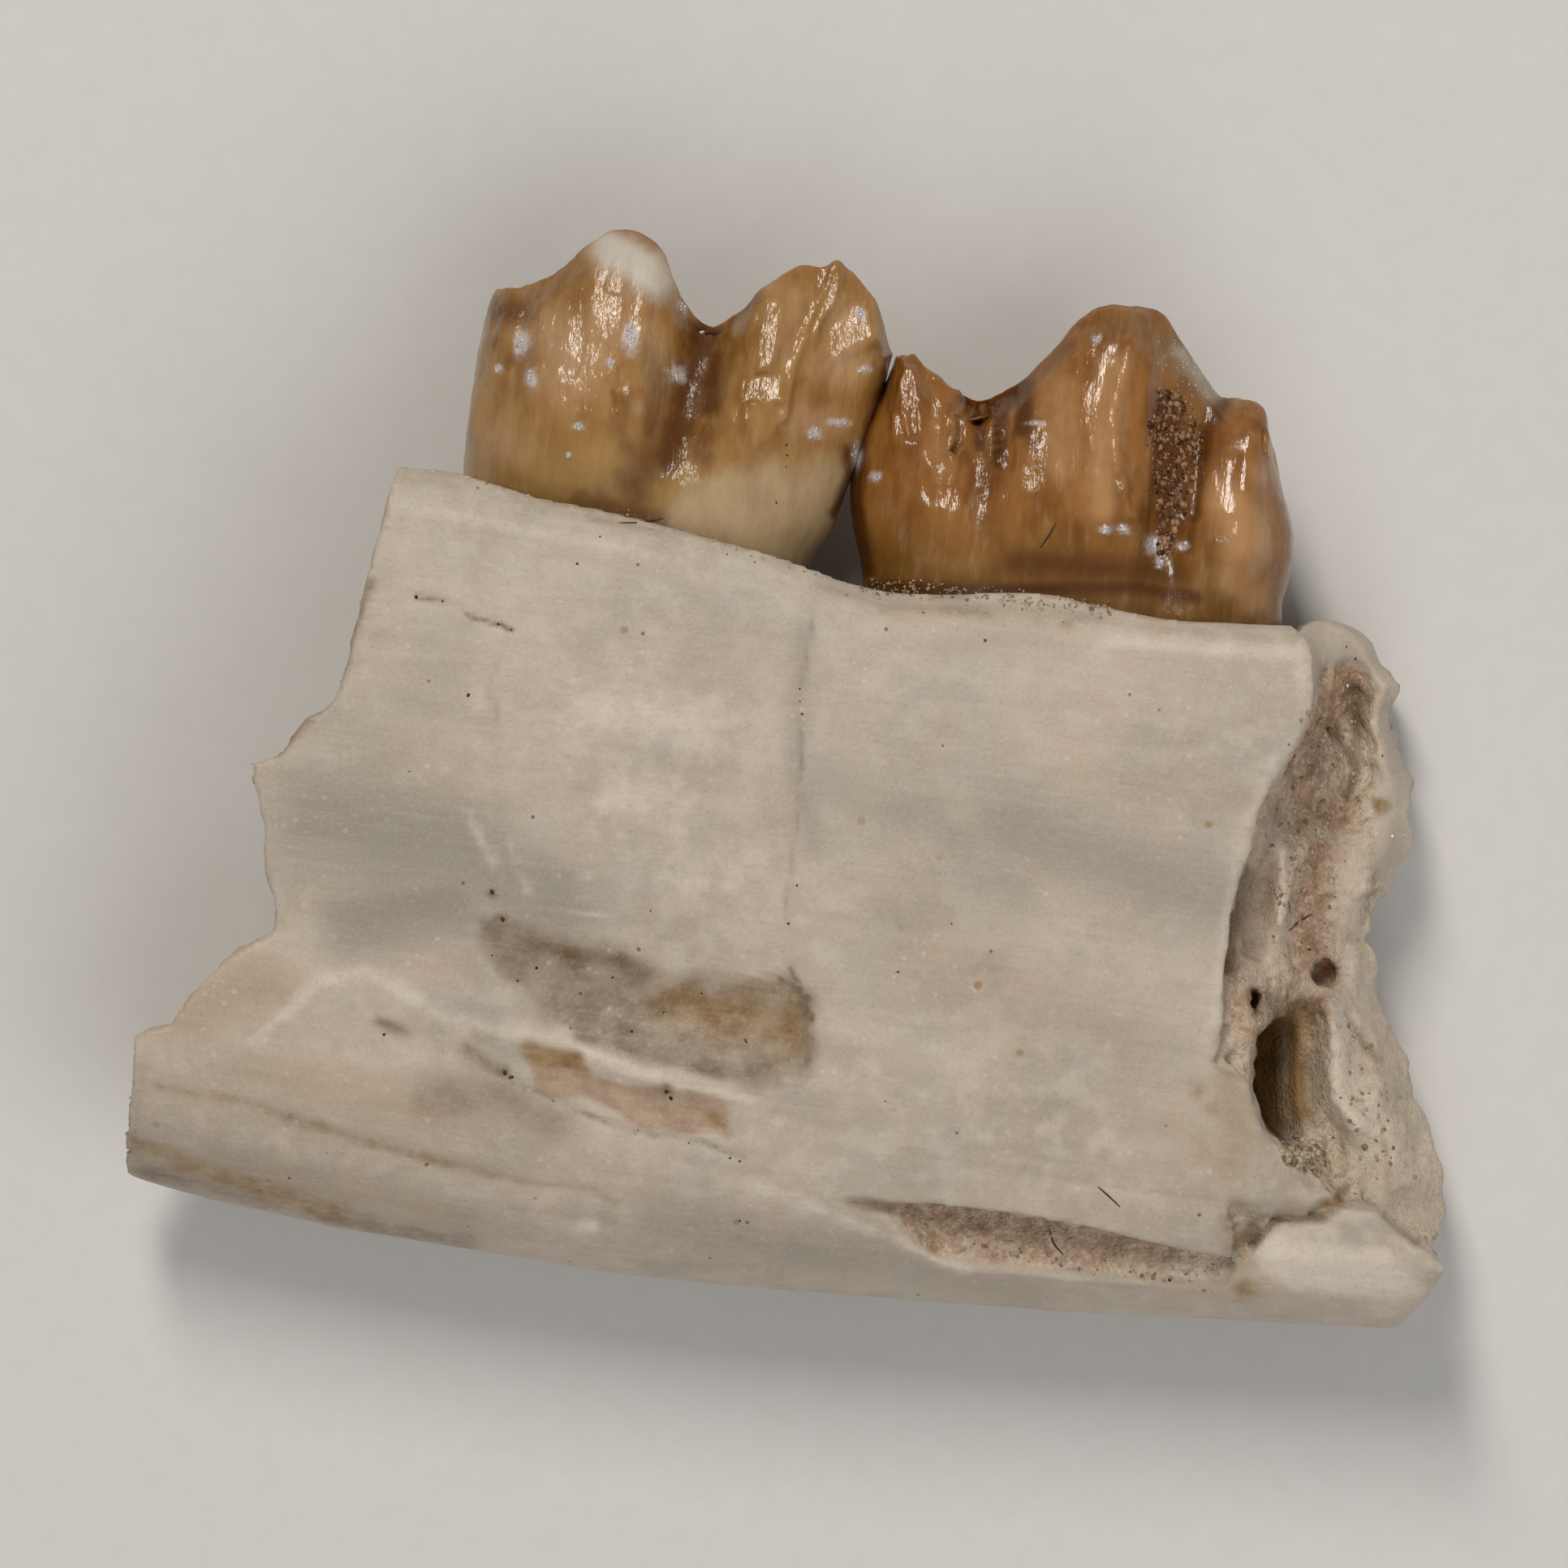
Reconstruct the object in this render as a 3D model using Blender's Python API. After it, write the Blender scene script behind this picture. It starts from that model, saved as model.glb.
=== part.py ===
"""A broken length of fossil jaw bone from a small, deer-like grazer, with two cheek teeth still in place.

The piece lies on its cheek side, so its tongue side faces up, along +Z. +X runs along the jaw to its front
break, and +Y runs from the jaw's lower edge to the tooth crowns. The origin is on the surface that the piece
lies on, under the middle of its box. Shapes are measured in millimetres, and each object is turned to metres
at the end.
"""

import math

import bmesh
import bpy
import numpy as np
from mathutils import Matrix, noise

METRES_PER_MM = 0.001

# Resolution of the solids.
BONE_VOXEL = 0.16
BONE_TRIANGLES = 5600
SECTION_POINTS = 60
STATION_STEP = 0.5
CROWN_POINTS = 40
WALL_RINGS = 8
CHEWING_RINGS = 5
ROOT_POINTS = 14
ROOT_RINGS = 6
SHEET_STEP = 0.24

# Room between a tooth and its socket, and between the two teeth.
SOCKET_ROOM = 0.07
TOOTH_ROOM = 0.02
REST_BAND = 0.07

# Upper and lower edges of the bone as (x, y).
UPPER_EDGE = [
    (-11.5, 5.35), (-6.1, 5.05), (-5.1, 4.95), (-4.0, 4.6), (-3.0, 4.38), (-2.0, 4.12), (-1.0, 3.85),
    (0.0, 3.6), (1.0, 3.25), (1.5, 3.08), (2.5, 3.0), (4.0, 3.02), (5.0, 2.85), (6.0, 2.65), (7.0, 2.56),
    (8.0, 2.52), (8.6, 2.58), (9.2, 2.42), (11.5, 2.2),
]
LOWER_EDGE = [
    (-11.5, -5.85), (-10.4, -6.2), (-9.0, -6.58), (-7.0, -7.05), (-5.0, -7.45), (-3.0, -7.75),
    (0.0, -8.03), (3.0, -8.24), (6.0, -8.45), (9.7, -8.64), (11.5, -8.7),
]

# The bone's cross-section, as (share of the height, z), down the tongue side and up the cheek side.
SECTION = [
    (1.0, 4.62), (0.965, 4.86), (0.88, 5.02), (0.7, 5.2), (0.5, 5.22), (0.38, 5.1), (0.28, 5.04),
    (0.18, 4.9), (0.1, 4.5), (0.045, 3.95), (0.012, 3.3), (0.0, 2.65), (0.015, 1.9), (0.06, 1.15),
    (0.15, 0.5), (0.28, 0.12), (0.42, 0.0), (0.58, 0.0), (0.72, 0.1), (0.86, 0.34), (0.95, 0.58),
    (0.975, 0.8), (0.965, 1.4), (0.955, 2.7), (0.965, 4.0), (0.985, 4.4),
]

# Broken ends as (y, x): the rear break, the tongue-side edge of the front break, and its cheek-side edge.
REAR_BREAK = [
    (6.5, -5.9), (5.05, -6.1), (4.7, -6.23), (4.0, -6.38), (2.9, -6.65), (1.87, -6.87), (1.26, -7.15),
    (1.08, -7.49), (0.6, -7.87), (0.36, -8.09), (0.26, -8.46), (-0.15, -8.3), (-1.3, -8.19), (-1.8, -8.05),
    (-2.3, -8.0), (-2.52, -8.41), (-2.87, -8.92), (-3.32, -9.37), (-3.8, -9.69), (-3.92, -10.25),
    (-5.05, -10.36), (-6.2, -10.58), (-9.5, -10.75),
]
TONGUE_EDGE = [
    (5.0, 7.9), (2.5, 7.95), (2.25, 8.22), (1.8, 8.4), (1.4, 8.36), (1.0, 8.2), (0.5, 8.0), (0.0, 7.7),
    (-0.6, 7.48), (-1.5, 7.3), (-2.1, 7.08), (-3.0, 6.95), (-4.2, 6.85), (-4.8, 6.62), (-5.6, 6.52),
    (-6.3, 6.7), (-6.7, 7.0), (-7.6, 7.1), (-9.5, 7.1),
]
CHEEK_EDGE = [
    (5.0, 8.6), (2.62, 8.7), (2.5, 9.05), (2.3, 9.3), (1.9, 9.5), (1.55, 9.78), (1.2, 9.63), (0.9, 9.65),
    (0.3, 9.82), (0.1, 9.98), (-0.7, 9.95), (-1.0, 10.0), (-1.3, 9.82), (-1.7, 9.62), (-1.82, 9.42),
    (-2.45, 9.22), (-2.8, 9.44), (-3.2, 9.38), (-3.8, 9.65), (-4.4, 9.88), (-4.85, 10.02), (-5.2, 10.1),
    (-5.7, 10.3), (-6.2, 10.47), (-6.9, 10.5), (-7.35, 10.26), (-7.62, 10.42), (-8.0, 10.2), (-8.64, 9.72),
    (-9.5, 9.0),
]

# Height of the front break's surface, at equal steps from its tongue-side edge to its cheek-side edge.
FRONT_BREAK = [
    (3.0, (4.4, 3.0, 2.5, 2.1, 1.8, 1.6, 1.2)),
    (1.0, (4.3, 3.1, 2.4, 2.0, 1.9, 2.0, 1.2)),
    (0.0, (4.4, 3.6, 3.0, 2.6, 2.3, 2.1, 1.2)),
    (-1.5, (4.6, 3.6, 3.8, 3.0, 2.7, 2.3, 1.2)),
    (-3.0, (4.7, 4.1, 3.6, 3.2, 3.1, 2.9, 1.4)),
    (-3.7, (4.7, 4.4, 2.9, 2.6, 3.4, 3.0, 1.4)),
    (-4.6, (4.75, 4.55, 1.8, 2.1, 3.4, 3.1, 1.4)),
    (-5.4, (4.75, 4.6, 3.0, 2.7, 3.3, 3.1, 1.5)),
    (-6.0, (4.7, 4.6, 4.5, 3.0, 3.2, 3.0, 1.6)),
    (-6.5, (4.6, 4.5, 4.4, 4.1, 3.0, 2.8, 1.6)),
    (-6.8, (4.1, 4.2, 4.2, 3.9, 3.5, 2.8, 1.8)),
    (-7.2, (3.6, 4.0, 4.15, 4.1, 4.0, 3.6, 2.8)),
    (-9.5, (3.9, 4.1, 4.1, 4.0, 3.9, 3.8, 3.6)),
]

# The slot where the lower edge's outer layer has split off, as (x, y): its upper lip and its lower lip.
SLOT_UPPER_LIP = [(1.15, -6.6), (2.0, -6.72), (3.0, -6.85), (4.0, -7.02), (5.0, -7.2), (6.0, -7.42),
                  (7.6, -7.7)]
SLOT_LOWER_LIP = [(1.15, -6.66), (1.8, -6.99), (2.5, -7.36), (3.2, -7.72), (4.4, -7.96), (5.6, -8.02),
                  (7.6, -8.05)]
SLOT_START_FLOOR = 4.75
SLOT_FLOOR = 3.86
SLOT_UNDERCUT = 0.2

# The nerve canal's mouth in each break, as rings of (x, y, z, half height, half depth).
FRONT_CANAL = [(4.4, -4.6, 2.6, 0.3, 0.35), (5.4, -4.65, 2.6, 0.7, 0.75), (7.2, -4.75, 2.5, 0.85, 0.95),
               (8.1, -4.7, 2.2, 0.8, 0.8), (8.9, -4.4, 2.2, 0.35, 0.4)]
REAR_CANAL = [(-11.5, -4.7, 2.5, 0.95, 1.0), (-9.6, -4.6, 2.5, 0.9, 0.95), (-8.0, -4.6, 2.5, 0.75, 0.8),
              (-6.8, -4.6, 2.5, 0.35, 0.4)]
SMALL_CANAL = [(8.0, -3.25, 1.7, 0.2, 0.2), (8.45, -3.08, 2.5, 0.24, 0.3), (8.75, -2.95, 4.0, 0.26, 0.4)]
PORE = [(7.2, -3.4, 3.3, 0.18, 0.2), (7.36, -3.3, 4.1, 0.2, 0.3), (7.5, -3.25, 4.8, 0.2, 0.3)]

# Raised and sunken lines of the tongue side, as (points, half width, height).
RIDGE = [(-8.4, -4.15), (-7.5, -3.45), (-6.7, -3.02), (-5.9, -3.15), (-5.0, -3.7), (-4.0, -4.0), (-2.7, -4.3),
         (-1.6, -4.75), (-0.3, -5.05), (0.8, -5.35)]
OPEN_CHANNEL = [(-5.0, -4.25), (-4.2, -4.4), (-3.0, -4.85), (-1.8, -5.15), (-0.7, -5.55)]
FURROW = [(-10.2, -4.75), (-8.2, -5.05), (-6.4, -5.6), (-4.6, -6.1), (-2.8, -6.5)]
UPPER_RIM = [(-6.2, 4.35), (-4.0, 3.95), (-2.0, 3.5), (0.0, 3.0), (1.5, 2.5), (4.0, 2.3), (6.0, 2.15),
             (8.1, 2.0)]
LINES = [(RIDGE, 0.28, 0.2), (OPEN_CHANNEL, 0.3, -0.32), (FURROW, 0.16, -0.12), (UPPER_RIM, 0.22, 0.07)]

# The stained hollow above the ridge, as (x, y): its upper bank and its lower bank.
HOLLOW_UPPER_BANK = [(-5.4, -2.35), (-4.0, -2.3), (-3.0, -2.5), (-2.0, -2.85), (-0.1, -2.95), (0.5, -3.4)]
HOLLOW_LOWER_BANK = [(-5.4, -2.6), (-4.4, -3.35), (-3.5, -3.85), (-1.8, -4.3), (-0.3, -4.7), (0.5, -4.9)]
HOLLOW_DEPTH = 0.32

# Each tooth: its rim on the tongue side and the cheek side as (x, y), its rear and front edges as (y, x)
# from the neck to the rim, the floor of its chewing surface as (x, y), its middle z, its half widths at the
# neck, how those change up the wall, its upright grooves, and its roots.
WALL_SHARES = (0.0, 0.35, 0.7, 1.0)
MOLAR = dict(
    tongue_rim=[(-4.6, 7.86), (-4.0, 7.93), (-3.5, 8.15), (-3.0, 8.5), (-2.6, 8.64), (-2.2, 8.55),
                (-1.95, 8.3), (-1.5, 7.55), (-1.15, 7.24), (-0.8, 7.42), (-0.1, 8.05), (0.3, 8.2),
                (0.9, 8.2), (1.15, 8.08), (1.45, 7.4), (1.7, 6.87)],
    cheek_rim=[(-4.6, 7.86), (-3.9, 7.6), (-3.1, 7.95), (-2.3, 7.5), (-1.25, 6.45), (-0.4, 7.1),
               (0.35, 7.6), (1.1, 7.1), (1.7, 6.87)],
    rear_edge=[(4.4, -5.12), (5.0, -5.1), (5.8, -5.0), (6.7, -4.9), (7.4, -4.75), (7.86, -4.6)],
    front_edge=[(3.2, 0.3), (3.6, 0.48), (4.0, 0.72), (4.7, 0.98), (5.5, 1.14), (6.2, 1.42),
                (6.87, 1.7)],
    neck=((-5.1, 4.9), (0.42, 3.5)),
    chewing_floor=[(-4.6, 7.5), (-3.7, 7.1), (-2.8, 6.7), (-1.9, 6.65), (-1.2, 7.0), (-0.5, 6.75),
                   (0.4, 6.4), (1.7, 6.6)],
    middle=2.6, tongue_half=1.78, cheek_half=1.75,
    tongue_swell=(1.0, 1.05, 0.96, 0.7), cheek_swell=(1.0, 1.12, 1.0, 0.6),
    grooves=[dict(side=1, foot=-1.75, top=-1.15, half_width=0.5, foot_depth=0.05, top_depth=0.45),
             dict(side=-1, foot=-1.9, top=-1.25, half_width=0.5, foot_depth=0.35, top_depth=1.0)],
    roots=[dict(top=(-3.3, 4.0), tip=(-4.0, -1.1), half_length=1.4, half_width=1.35),
           dict(top=(-0.7, 3.3), tip=(-0.9, -1.5), half_length=1.0, half_width=1.3)],
)
PREMOLAR = dict(
    tongue_rim=[(1.75, 6.82), (2.1, 6.66), (2.5, 6.4), (3.1, 6.12), (3.4, 6.2), (3.8, 6.4), (4.2, 6.8),
                (4.6, 7.15), (5.0, 7.37), (5.9, 7.39), (6.1, 7.25), (6.5, 6.7), (6.95, 6.13), (7.2, 6.05),
                (7.5, 5.87), (7.7, 5.6)],
    cheek_rim=[(1.75, 6.82), (2.4, 6.3), (3.1, 5.9), (3.9, 6.3), (4.6, 6.95), (5.3, 7.25), (5.9, 7.1),
               (6.5, 6.4), (7.0, 5.9), (7.7, 5.6)],
    rear_edge=[(2.6, 1.5), (3.2, 1.42), (3.6, 1.3), (4.1, 1.15), (4.7, 1.08), (5.3, 1.2), (5.9, 1.42),
               (6.82, 1.75)],
    front_edge=[(2.0, 7.86), (2.6, 7.88), (3.2, 7.95), (3.7, 8.08), (4.2, 8.05), (4.8, 7.85), (5.6, 7.7)],
    neck=((1.4, 3.05), (7.88, 2.5)),
    chewing_floor=[(1.75, 6.5), (2.4, 6.0), (3.1, 5.6), (3.9, 6.15), (4.6, 6.95), (5.4, 7.3), (6.0, 7.05),
                   (6.6, 6.3), (7.1, 5.85), (7.7, 5.5)],
    middle=2.65, tongue_half=1.62, cheek_half=1.45,
    tongue_swell=(1.0, 1.03, 0.88, 0.52), cheek_swell=(1.0, 1.05, 0.85, 0.45),
    grooves=[dict(side=1, foot=3.1, top=3.15, half_width=0.38, foot_depth=0.0, top_depth=0.34),
             dict(side=1, foot=5.95, top=6.75, half_width=0.34, foot_depth=0.16, top_depth=0.5),
             dict(side=-1, foot=3.2, top=3.1, half_width=0.5, foot_depth=0.1, top_depth=0.5)],
    roots=[dict(top=(2.9, 2.7), tip=(2.5, -1.7), half_length=1.1, half_width=1.2),
           dict(top=(6.3, 2.2), tip=(6.1, -1.6), half_length=1.15, half_width=1.2)],
)
NECK_DEPTH = 1.0
NECK_TAPER = 0.84
ROOT_TIP_SHARE = 0.3
WALL_SQUARENESS = 0.78
THINNEST_RIM = 0.18
CHEWING_TAPER = 0.3

BONE_COLOUR = (0.49, 0.41, 0.32)
ENAMEL_COLOUR = (0.30, 0.155, 0.05)


def line(points):
    """A function that reads a measured line, straight between its points."""
    places, values = zip(*sorted(points))
    return lambda at: np.interp(at, places, values)


def rounded(points):
    """A function that reads a measured line, rounded through its points."""
    places, values = (np.array(column, float) for column in zip(*sorted(points)))
    slopes = np.gradient(values, places)

    def read(at):
        at = np.clip(at, places[0], places[-1])
        i = np.clip(np.searchsorted(places, at) - 1, 0, len(places) - 2)
        width = places[i + 1] - places[i]
        t = (at - places[i]) / width
        start = (1 + 2 * t) * (1 - t) ** 2 * values[i] + t * (1 - t) ** 2 * width * slopes[i]
        end = t * t * (3 - 2 * t) * values[i + 1] + t * t * (t - 1) * width * slopes[i + 1]
        return start + end

    return read


def distance_to(points, x, y):
    """How far each place (x, y) is from a drawn line."""
    nearest = np.full(x.shape, np.inf)
    for (ax, ay), (bx, by) in zip(points, points[1:]):
        length = (bx - ax) ** 2 + (by - ay) ** 2
        t = np.clip(((x - ax) * (bx - ax) + (y - ay) * (by - ay)) / length, 0, 1)
        nearest = np.minimum(nearest, np.hypot(x - ax - t * (bx - ax), y - ay - t * (by - ay)))
    return nearest


def smooth_step(low, high, value):
    t = np.clip((value - low) / (high - low), 0, 1)
    return t * t * (3 - 2 * t)


def lumps(points, size, seed=0.0):
    """Soft lumps of about this size, from -1 to 1, at each point."""
    return np.array([noise.noise((p[0] / size + seed, p[1] / size, p[2] / size)) for p in points])


def new_object(name, mesh_builder):
    mesh = bpy.data.meshes.new(name)
    mesh_builder.to_mesh(mesh)
    mesh_builder.free()
    made = bpy.data.objects.new(name, mesh)
    bpy.context.scene.collection.objects.link(made)
    return made


def loft(name, rings, close_middle=False):
    """A closed solid through rings of equal counts of points, with flat ends."""
    builder = bmesh.new()
    loops = [[builder.verts.new(point) for point in ring] for ring in rings]
    count = len(loops[0])
    for below, above in zip(loops, loops[1:]):
        for i in range(count):
            j = (i + 1) % count
            builder.faces.new((below[i], below[j], above[j], above[i]))
    builder.faces.new(loops[0][::-1])
    if not close_middle:
        builder.faces.new(loops[-1])
    bmesh.ops.remove_doubles(builder, verts=builder.verts, dist=0.001)
    bmesh.ops.recalc_face_normals(builder, faces=builder.faces)
    return new_object(name, builder)


def block_between(name, first, second):
    """A closed block between two sheets of points, each an array of rows by columns by 3."""
    builder = bmesh.new()
    rows, columns = first.shape[:2]
    sheets = [[[builder.verts.new(p) for p in row] for row in sheet] for sheet in (first, second)]
    for sheet in sheets:
        for r in range(rows - 1):
            for c in range(columns - 1):
                builder.faces.new((sheet[r][c], sheet[r][c + 1], sheet[r + 1][c + 1], sheet[r + 1][c]))
    border = [(0, c) for c in range(columns)] + [(r, columns - 1) for r in range(1, rows)]
    border += [(rows - 1, c) for c in range(columns - 2, -1, -1)] + [(r, 0) for r in range(rows - 2, 0, -1)]
    for (r, c), (s, d) in zip(border, border[1:] + border[:1]):
        builder.faces.new((sheets[0][r][c], sheets[0][s][d], sheets[1][s][d], sheets[1][r][c]))
    bmesh.ops.recalc_face_normals(builder, faces=builder.faces)
    return new_object(name, builder)


def settle(piece):
    """Turns what the modifiers make into the piece's own mesh."""
    graph = bpy.context.evaluated_depsgraph_get()
    mesh = bpy.data.meshes.new_from_object(piece.evaluated_get(graph))
    piece.modifiers.clear()
    piece.data = mesh


def boolean(piece, other, operation):
    """Cuts the other shape from the piece, or joins it on, and removes the other shape."""
    modifier = piece.modifiers.new(other.name, "BOOLEAN")
    modifier.operation = operation
    modifier.object = other
    bpy.context.view_layer.update()
    settle(piece)
    bpy.data.objects.remove(other)


def section_ring(x, top, bottom):
    """The bone's outline at one station along it."""
    places = np.arange(len(SECTION) + 1)
    looped = SECTION + SECTION[:1]
    at = np.linspace(0, len(SECTION), SECTION_POINTS, endpoint=False)
    share = rounded(list(zip(places, [s for s, _ in looped])))(at)
    depth = rounded(list(zip(places, [z for _, z in looped])))(at)
    return [(x, bottom + s * (top - bottom), z) for s, z in zip(share, depth)]


def whole_bone():
    """The jaw bone before its ends broke off."""
    upper, lower = rounded(UPPER_EDGE), rounded(LOWER_EDGE)
    stations = np.arange(-11.2, 11.21, STATION_STEP)
    return loft("jaw_bone", [section_ring(x, upper(x), lower(x)) for x in stations])


def steps(low, high):
    return np.linspace(low, high, round((high - low) / SHEET_STEP) + 1)


def rear_break():
    """What is missing behind the rear break. Its tongue side reaches back furthest, its core is sunk."""
    y, z = np.meshgrid(steps(-9.5, 6.5), steps(-1.5, 7.0), indexing="ij")
    edge = line(REAR_BREAK)(y)
    core = smooth_step(4.75, 4.4, z) * smooth_step(0.5, 0.9, z) * smooth_step(-6.3, -5.4, y)
    tooth_socket = np.exp(-(((z - 2.6) / 0.95) ** 2)) * smooth_step(-1.5, 0.0, y)
    lean = 0.35 + 0.75 * smooth_step(-5.9, -4.0, y)
    x = edge + lean * smooth_step(4.9, 0.6, z) + 0.45 * core + 0.8 * tooth_socket
    places = np.stack([x, y, z], axis=-1).reshape(-1, 3)
    rough = lumps(places, 0.8).reshape(x.shape) + 0.6 * lumps(places, 0.35).reshape(x.shape)
    x = x + rough * (0.1 + 0.14 * core) * smooth_step(5.1, 4.6, z)
    return block_between("rear_break", np.stack([x, y, z], axis=-1), np.stack([x * 0 - 14, y, z], axis=-1))


def front_break():
    """What is missing above the front break's sloping surface, from its sharp tongue-side edge outwards."""
    rows = steps(-9.5, 4.5)
    y, share = np.meshgrid(rows, np.linspace(0, 1.25, 18), indexing="ij")
    near, far = line(TONGUE_EDGE)(y), line(CHEEK_EDGE)(y)
    x = near + share * (far - near)
    columns = len(FRONT_BREAK[0][1])
    heights = [line([(row, depths[i]) for row, depths in FRONT_BREAK])(rows) for i in range(columns)]
    heights = np.stack(heights, axis=1)
    z = np.stack([np.interp(share[r], np.linspace(0, 1, columns), heights[r]) for r in range(len(rows))])
    flat = np.stack([x, y, np.zeros_like(x)], axis=-1)
    places = flat.reshape(-1, 3)
    rough = (0.2 * lumps(places, 0.9) + 0.16 * lumps(places, 0.4, 7.0)).reshape(x.shape)
    z = z + rough * smooth_step(-7.6, -6.8, y) * smooth_step(0.0, 0.1, share)
    return block_between("front_break", np.stack([x, y, z], axis=-1), np.stack([x, y, z * 0 + 8], axis=-1))


def cheek_side_break():
    """What is missing past the cheek side's broken edge."""
    y, z = np.meshgrid(steps(-9.5, 4.5), np.linspace(-1.5, 8.5, 12), indexing="ij")
    x = line(CHEEK_EDGE)(y) - 0.12 * smooth_step(0.9, 0.0, z)
    surface, outside = np.stack([x, y, z], axis=-1), np.stack([x * 0 + 14, y, z], axis=-1)
    return block_between("cheek_side_break", surface, outside)


def lower_slot():
    """The hollow under the split outer layer, undercut below its upper lip."""
    x, across = np.meshgrid(steps(1.15, 7.6), np.linspace(0, 1, 6), indexing="ij")
    upper, lower = rounded(SLOT_UPPER_LIP)(x), rounded(SLOT_LOWER_LIP)(x) - 0.25
    open_y = upper + across * (lower - upper)
    floor_y = open_y + SLOT_UNDERCUT * (1 - across) * smooth_step(1.15, 2.5, x)
    fade_in = smooth_step(1.15, 2.6, x)
    floor = SLOT_START_FLOOR + (SLOT_FLOOR - SLOT_START_FLOOR) * fade_in + 0.1 * across
    surface, outside = np.stack([x, floor_y, floor], axis=-1), np.stack([x, open_y, x * 0 + 7], axis=-1)
    return block_between("lower_slot", surface, outside)


def canal(name, rings, points=14):
    """A rounded bore through rings of (x, y, z, half height, half depth) that stand across X."""
    turns = [2 * math.pi * i / points for i in range(points)]
    bore = [[(x, y + h * math.cos(a), z + d * math.sin(a)) for a in turns] for x, y, z, h, d in rings]
    return loft(name, bore)


def carve_tongue_side(bone):
    """Raises and sinks the lines and hollows of the side that faces up."""
    points = np.array([v.co for v in bone.data.vertices])
    normals = np.array([v.normal for v in bone.data.vertices])
    x, y, z = points.T
    facing = smooth_step(0.25, 0.7, normals[:, 2]) * smooth_step(3.2, 4.2, z)
    facing *= smooth_step(0.05, 0.3, line(TONGUE_EDGE)(y) - x)
    rise = np.zeros(len(points))
    for drawn, half_width, height in LINES:
        rise += height * np.exp(-((distance_to(drawn, x, y) / half_width) ** 2))
    below_bank = smooth_step(-0.1, 0.4, line(HOLLOW_UPPER_BANK)(x) - y)
    above_bank = smooth_step(-0.1, 0.4, y - line(HOLLOW_LOWER_BANK)(x))
    rise -= HOLLOW_DEPTH * below_bank * above_bank * smooth_step(-5.4, -4.0, x) * smooth_step(0.55, 0.2, x)
    points[:, 2] += rise * facing
    points[:, 2] += 0.05 * lumps(points, 2.2, 3.0) * facing
    points[:, 2] = np.where(points[:, 2] < REST_BAND, 0.0, points[:, 2])
    bone.data.vertices.foreach_set("co", points.astype(np.float32).ravel())


def crown_ring(tooth, level, grow):
    """A ring of the crown. level is -1 to 0 down in the neck, to 1 up the wall, and to 2 in over the top."""
    turns = np.arange(CROWN_POINTS) * 2 * math.pi / CROWN_POINTS
    cosine, sine = np.cos(turns), np.sin(turns)
    share = 0.5 + 0.5 * np.sign(cosine) * np.abs(cosine) ** WALL_SQUARENESS
    outward = np.sign(sine) * np.abs(sine) ** WALL_SQUARENESS
    up, inward, down = min(max(level, 0.0), 1.0), max(level - 1.0, 0.0), max(-level, 0.0)
    (_, rear_y), (_, front_y) = tooth["neck"]
    rear, front = rounded(tooth["rear_edge"]), rounded(tooth["front_edge"])
    rear_top, front_top = tooth["tongue_rim"][0], tooth["tongue_rim"][-1]
    rear_at = rear(rear_y + up * (rear_top[1] - rear_y))
    front_at = front(front_y + up * (front_top[1] - front_y))
    top_x = rear_top[0] + share * (front_top[0] - rear_top[0])
    rim = np.where(sine >= 0, rounded(tooth["tongue_rim"])(top_x), rounded(tooth["cheek_rim"])(top_x))
    x = rear_at + share * (front_at - rear_at)
    neck_y = rear_y + share * (front_y - rear_y)
    y = neck_y + up * (rim - neck_y)
    tongue, cheek = (np.interp(up, WALL_SHARES, tooth[side]) for side in ("tongue_swell", "cheek_swell"))
    reach = np.where(sine >= 0, tooth["tongue_half"] * tongue, tooth["cheek_half"] * cheek)
    for groove in tooth["grooves"]:
        at = groove["foot"] + up * (groove["top"] - groove["foot"])
        depth = groove["foot_depth"] + up * (groove["top_depth"] - groove["foot_depth"])
        sunk = depth * np.exp(-(((x - at) / groove["half_width"]) ** 2))
        reach = reach - sunk * (np.sign(sine) == groove["side"])
    reach = np.maximum(reach, THINNEST_RIM)
    half = (front_at - rear_at) / 2
    grown = 1 + (grow - TOOTH_ROOM / 2) / half
    middle_x = (front_at + rear_at) / 2
    neck_narrowing = 1 - (1 - NECK_TAPER) * down
    x = middle_x + (x - middle_x) * (1 - CHEWING_TAPER * inward) * neck_narrowing * grown
    z = tooth["middle"] + (reach + grow) * outward * (1 - inward) * neck_narrowing
    floor = rounded(tooth["chewing_floor"])(x)
    y = y + (floor - y) * smooth_step(0.0, 1.0, np.float64(inward)) + grow * up - NECK_DEPTH * down
    return list(zip(x, y, z))


def root(tooth, root_shape, grow):
    """One tapering root, buried in the bone."""
    (top_x, top_y), (tip_x, tip_y) = root_shape["top"], root_shape["tip"]
    rings = []
    for along in np.linspace(0, 1, ROOT_RINGS):
        taper = 1 - (1 - ROOT_TIP_SHARE) * along**1.4
        x, y = top_x + along * (tip_x - top_x), top_y + along * (tip_y - top_y) - grow * along
        rings.append([
            (x + (root_shape["half_length"] * taper + grow) * math.cos(a), y,
             tooth["middle"] + (root_shape["half_width"] * taper + grow) * math.sin(a))
            for a in (2 * math.pi * i / ROOT_POINTS for i in range(ROOT_POINTS))
        ])
    return loft("root", rings)


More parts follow.
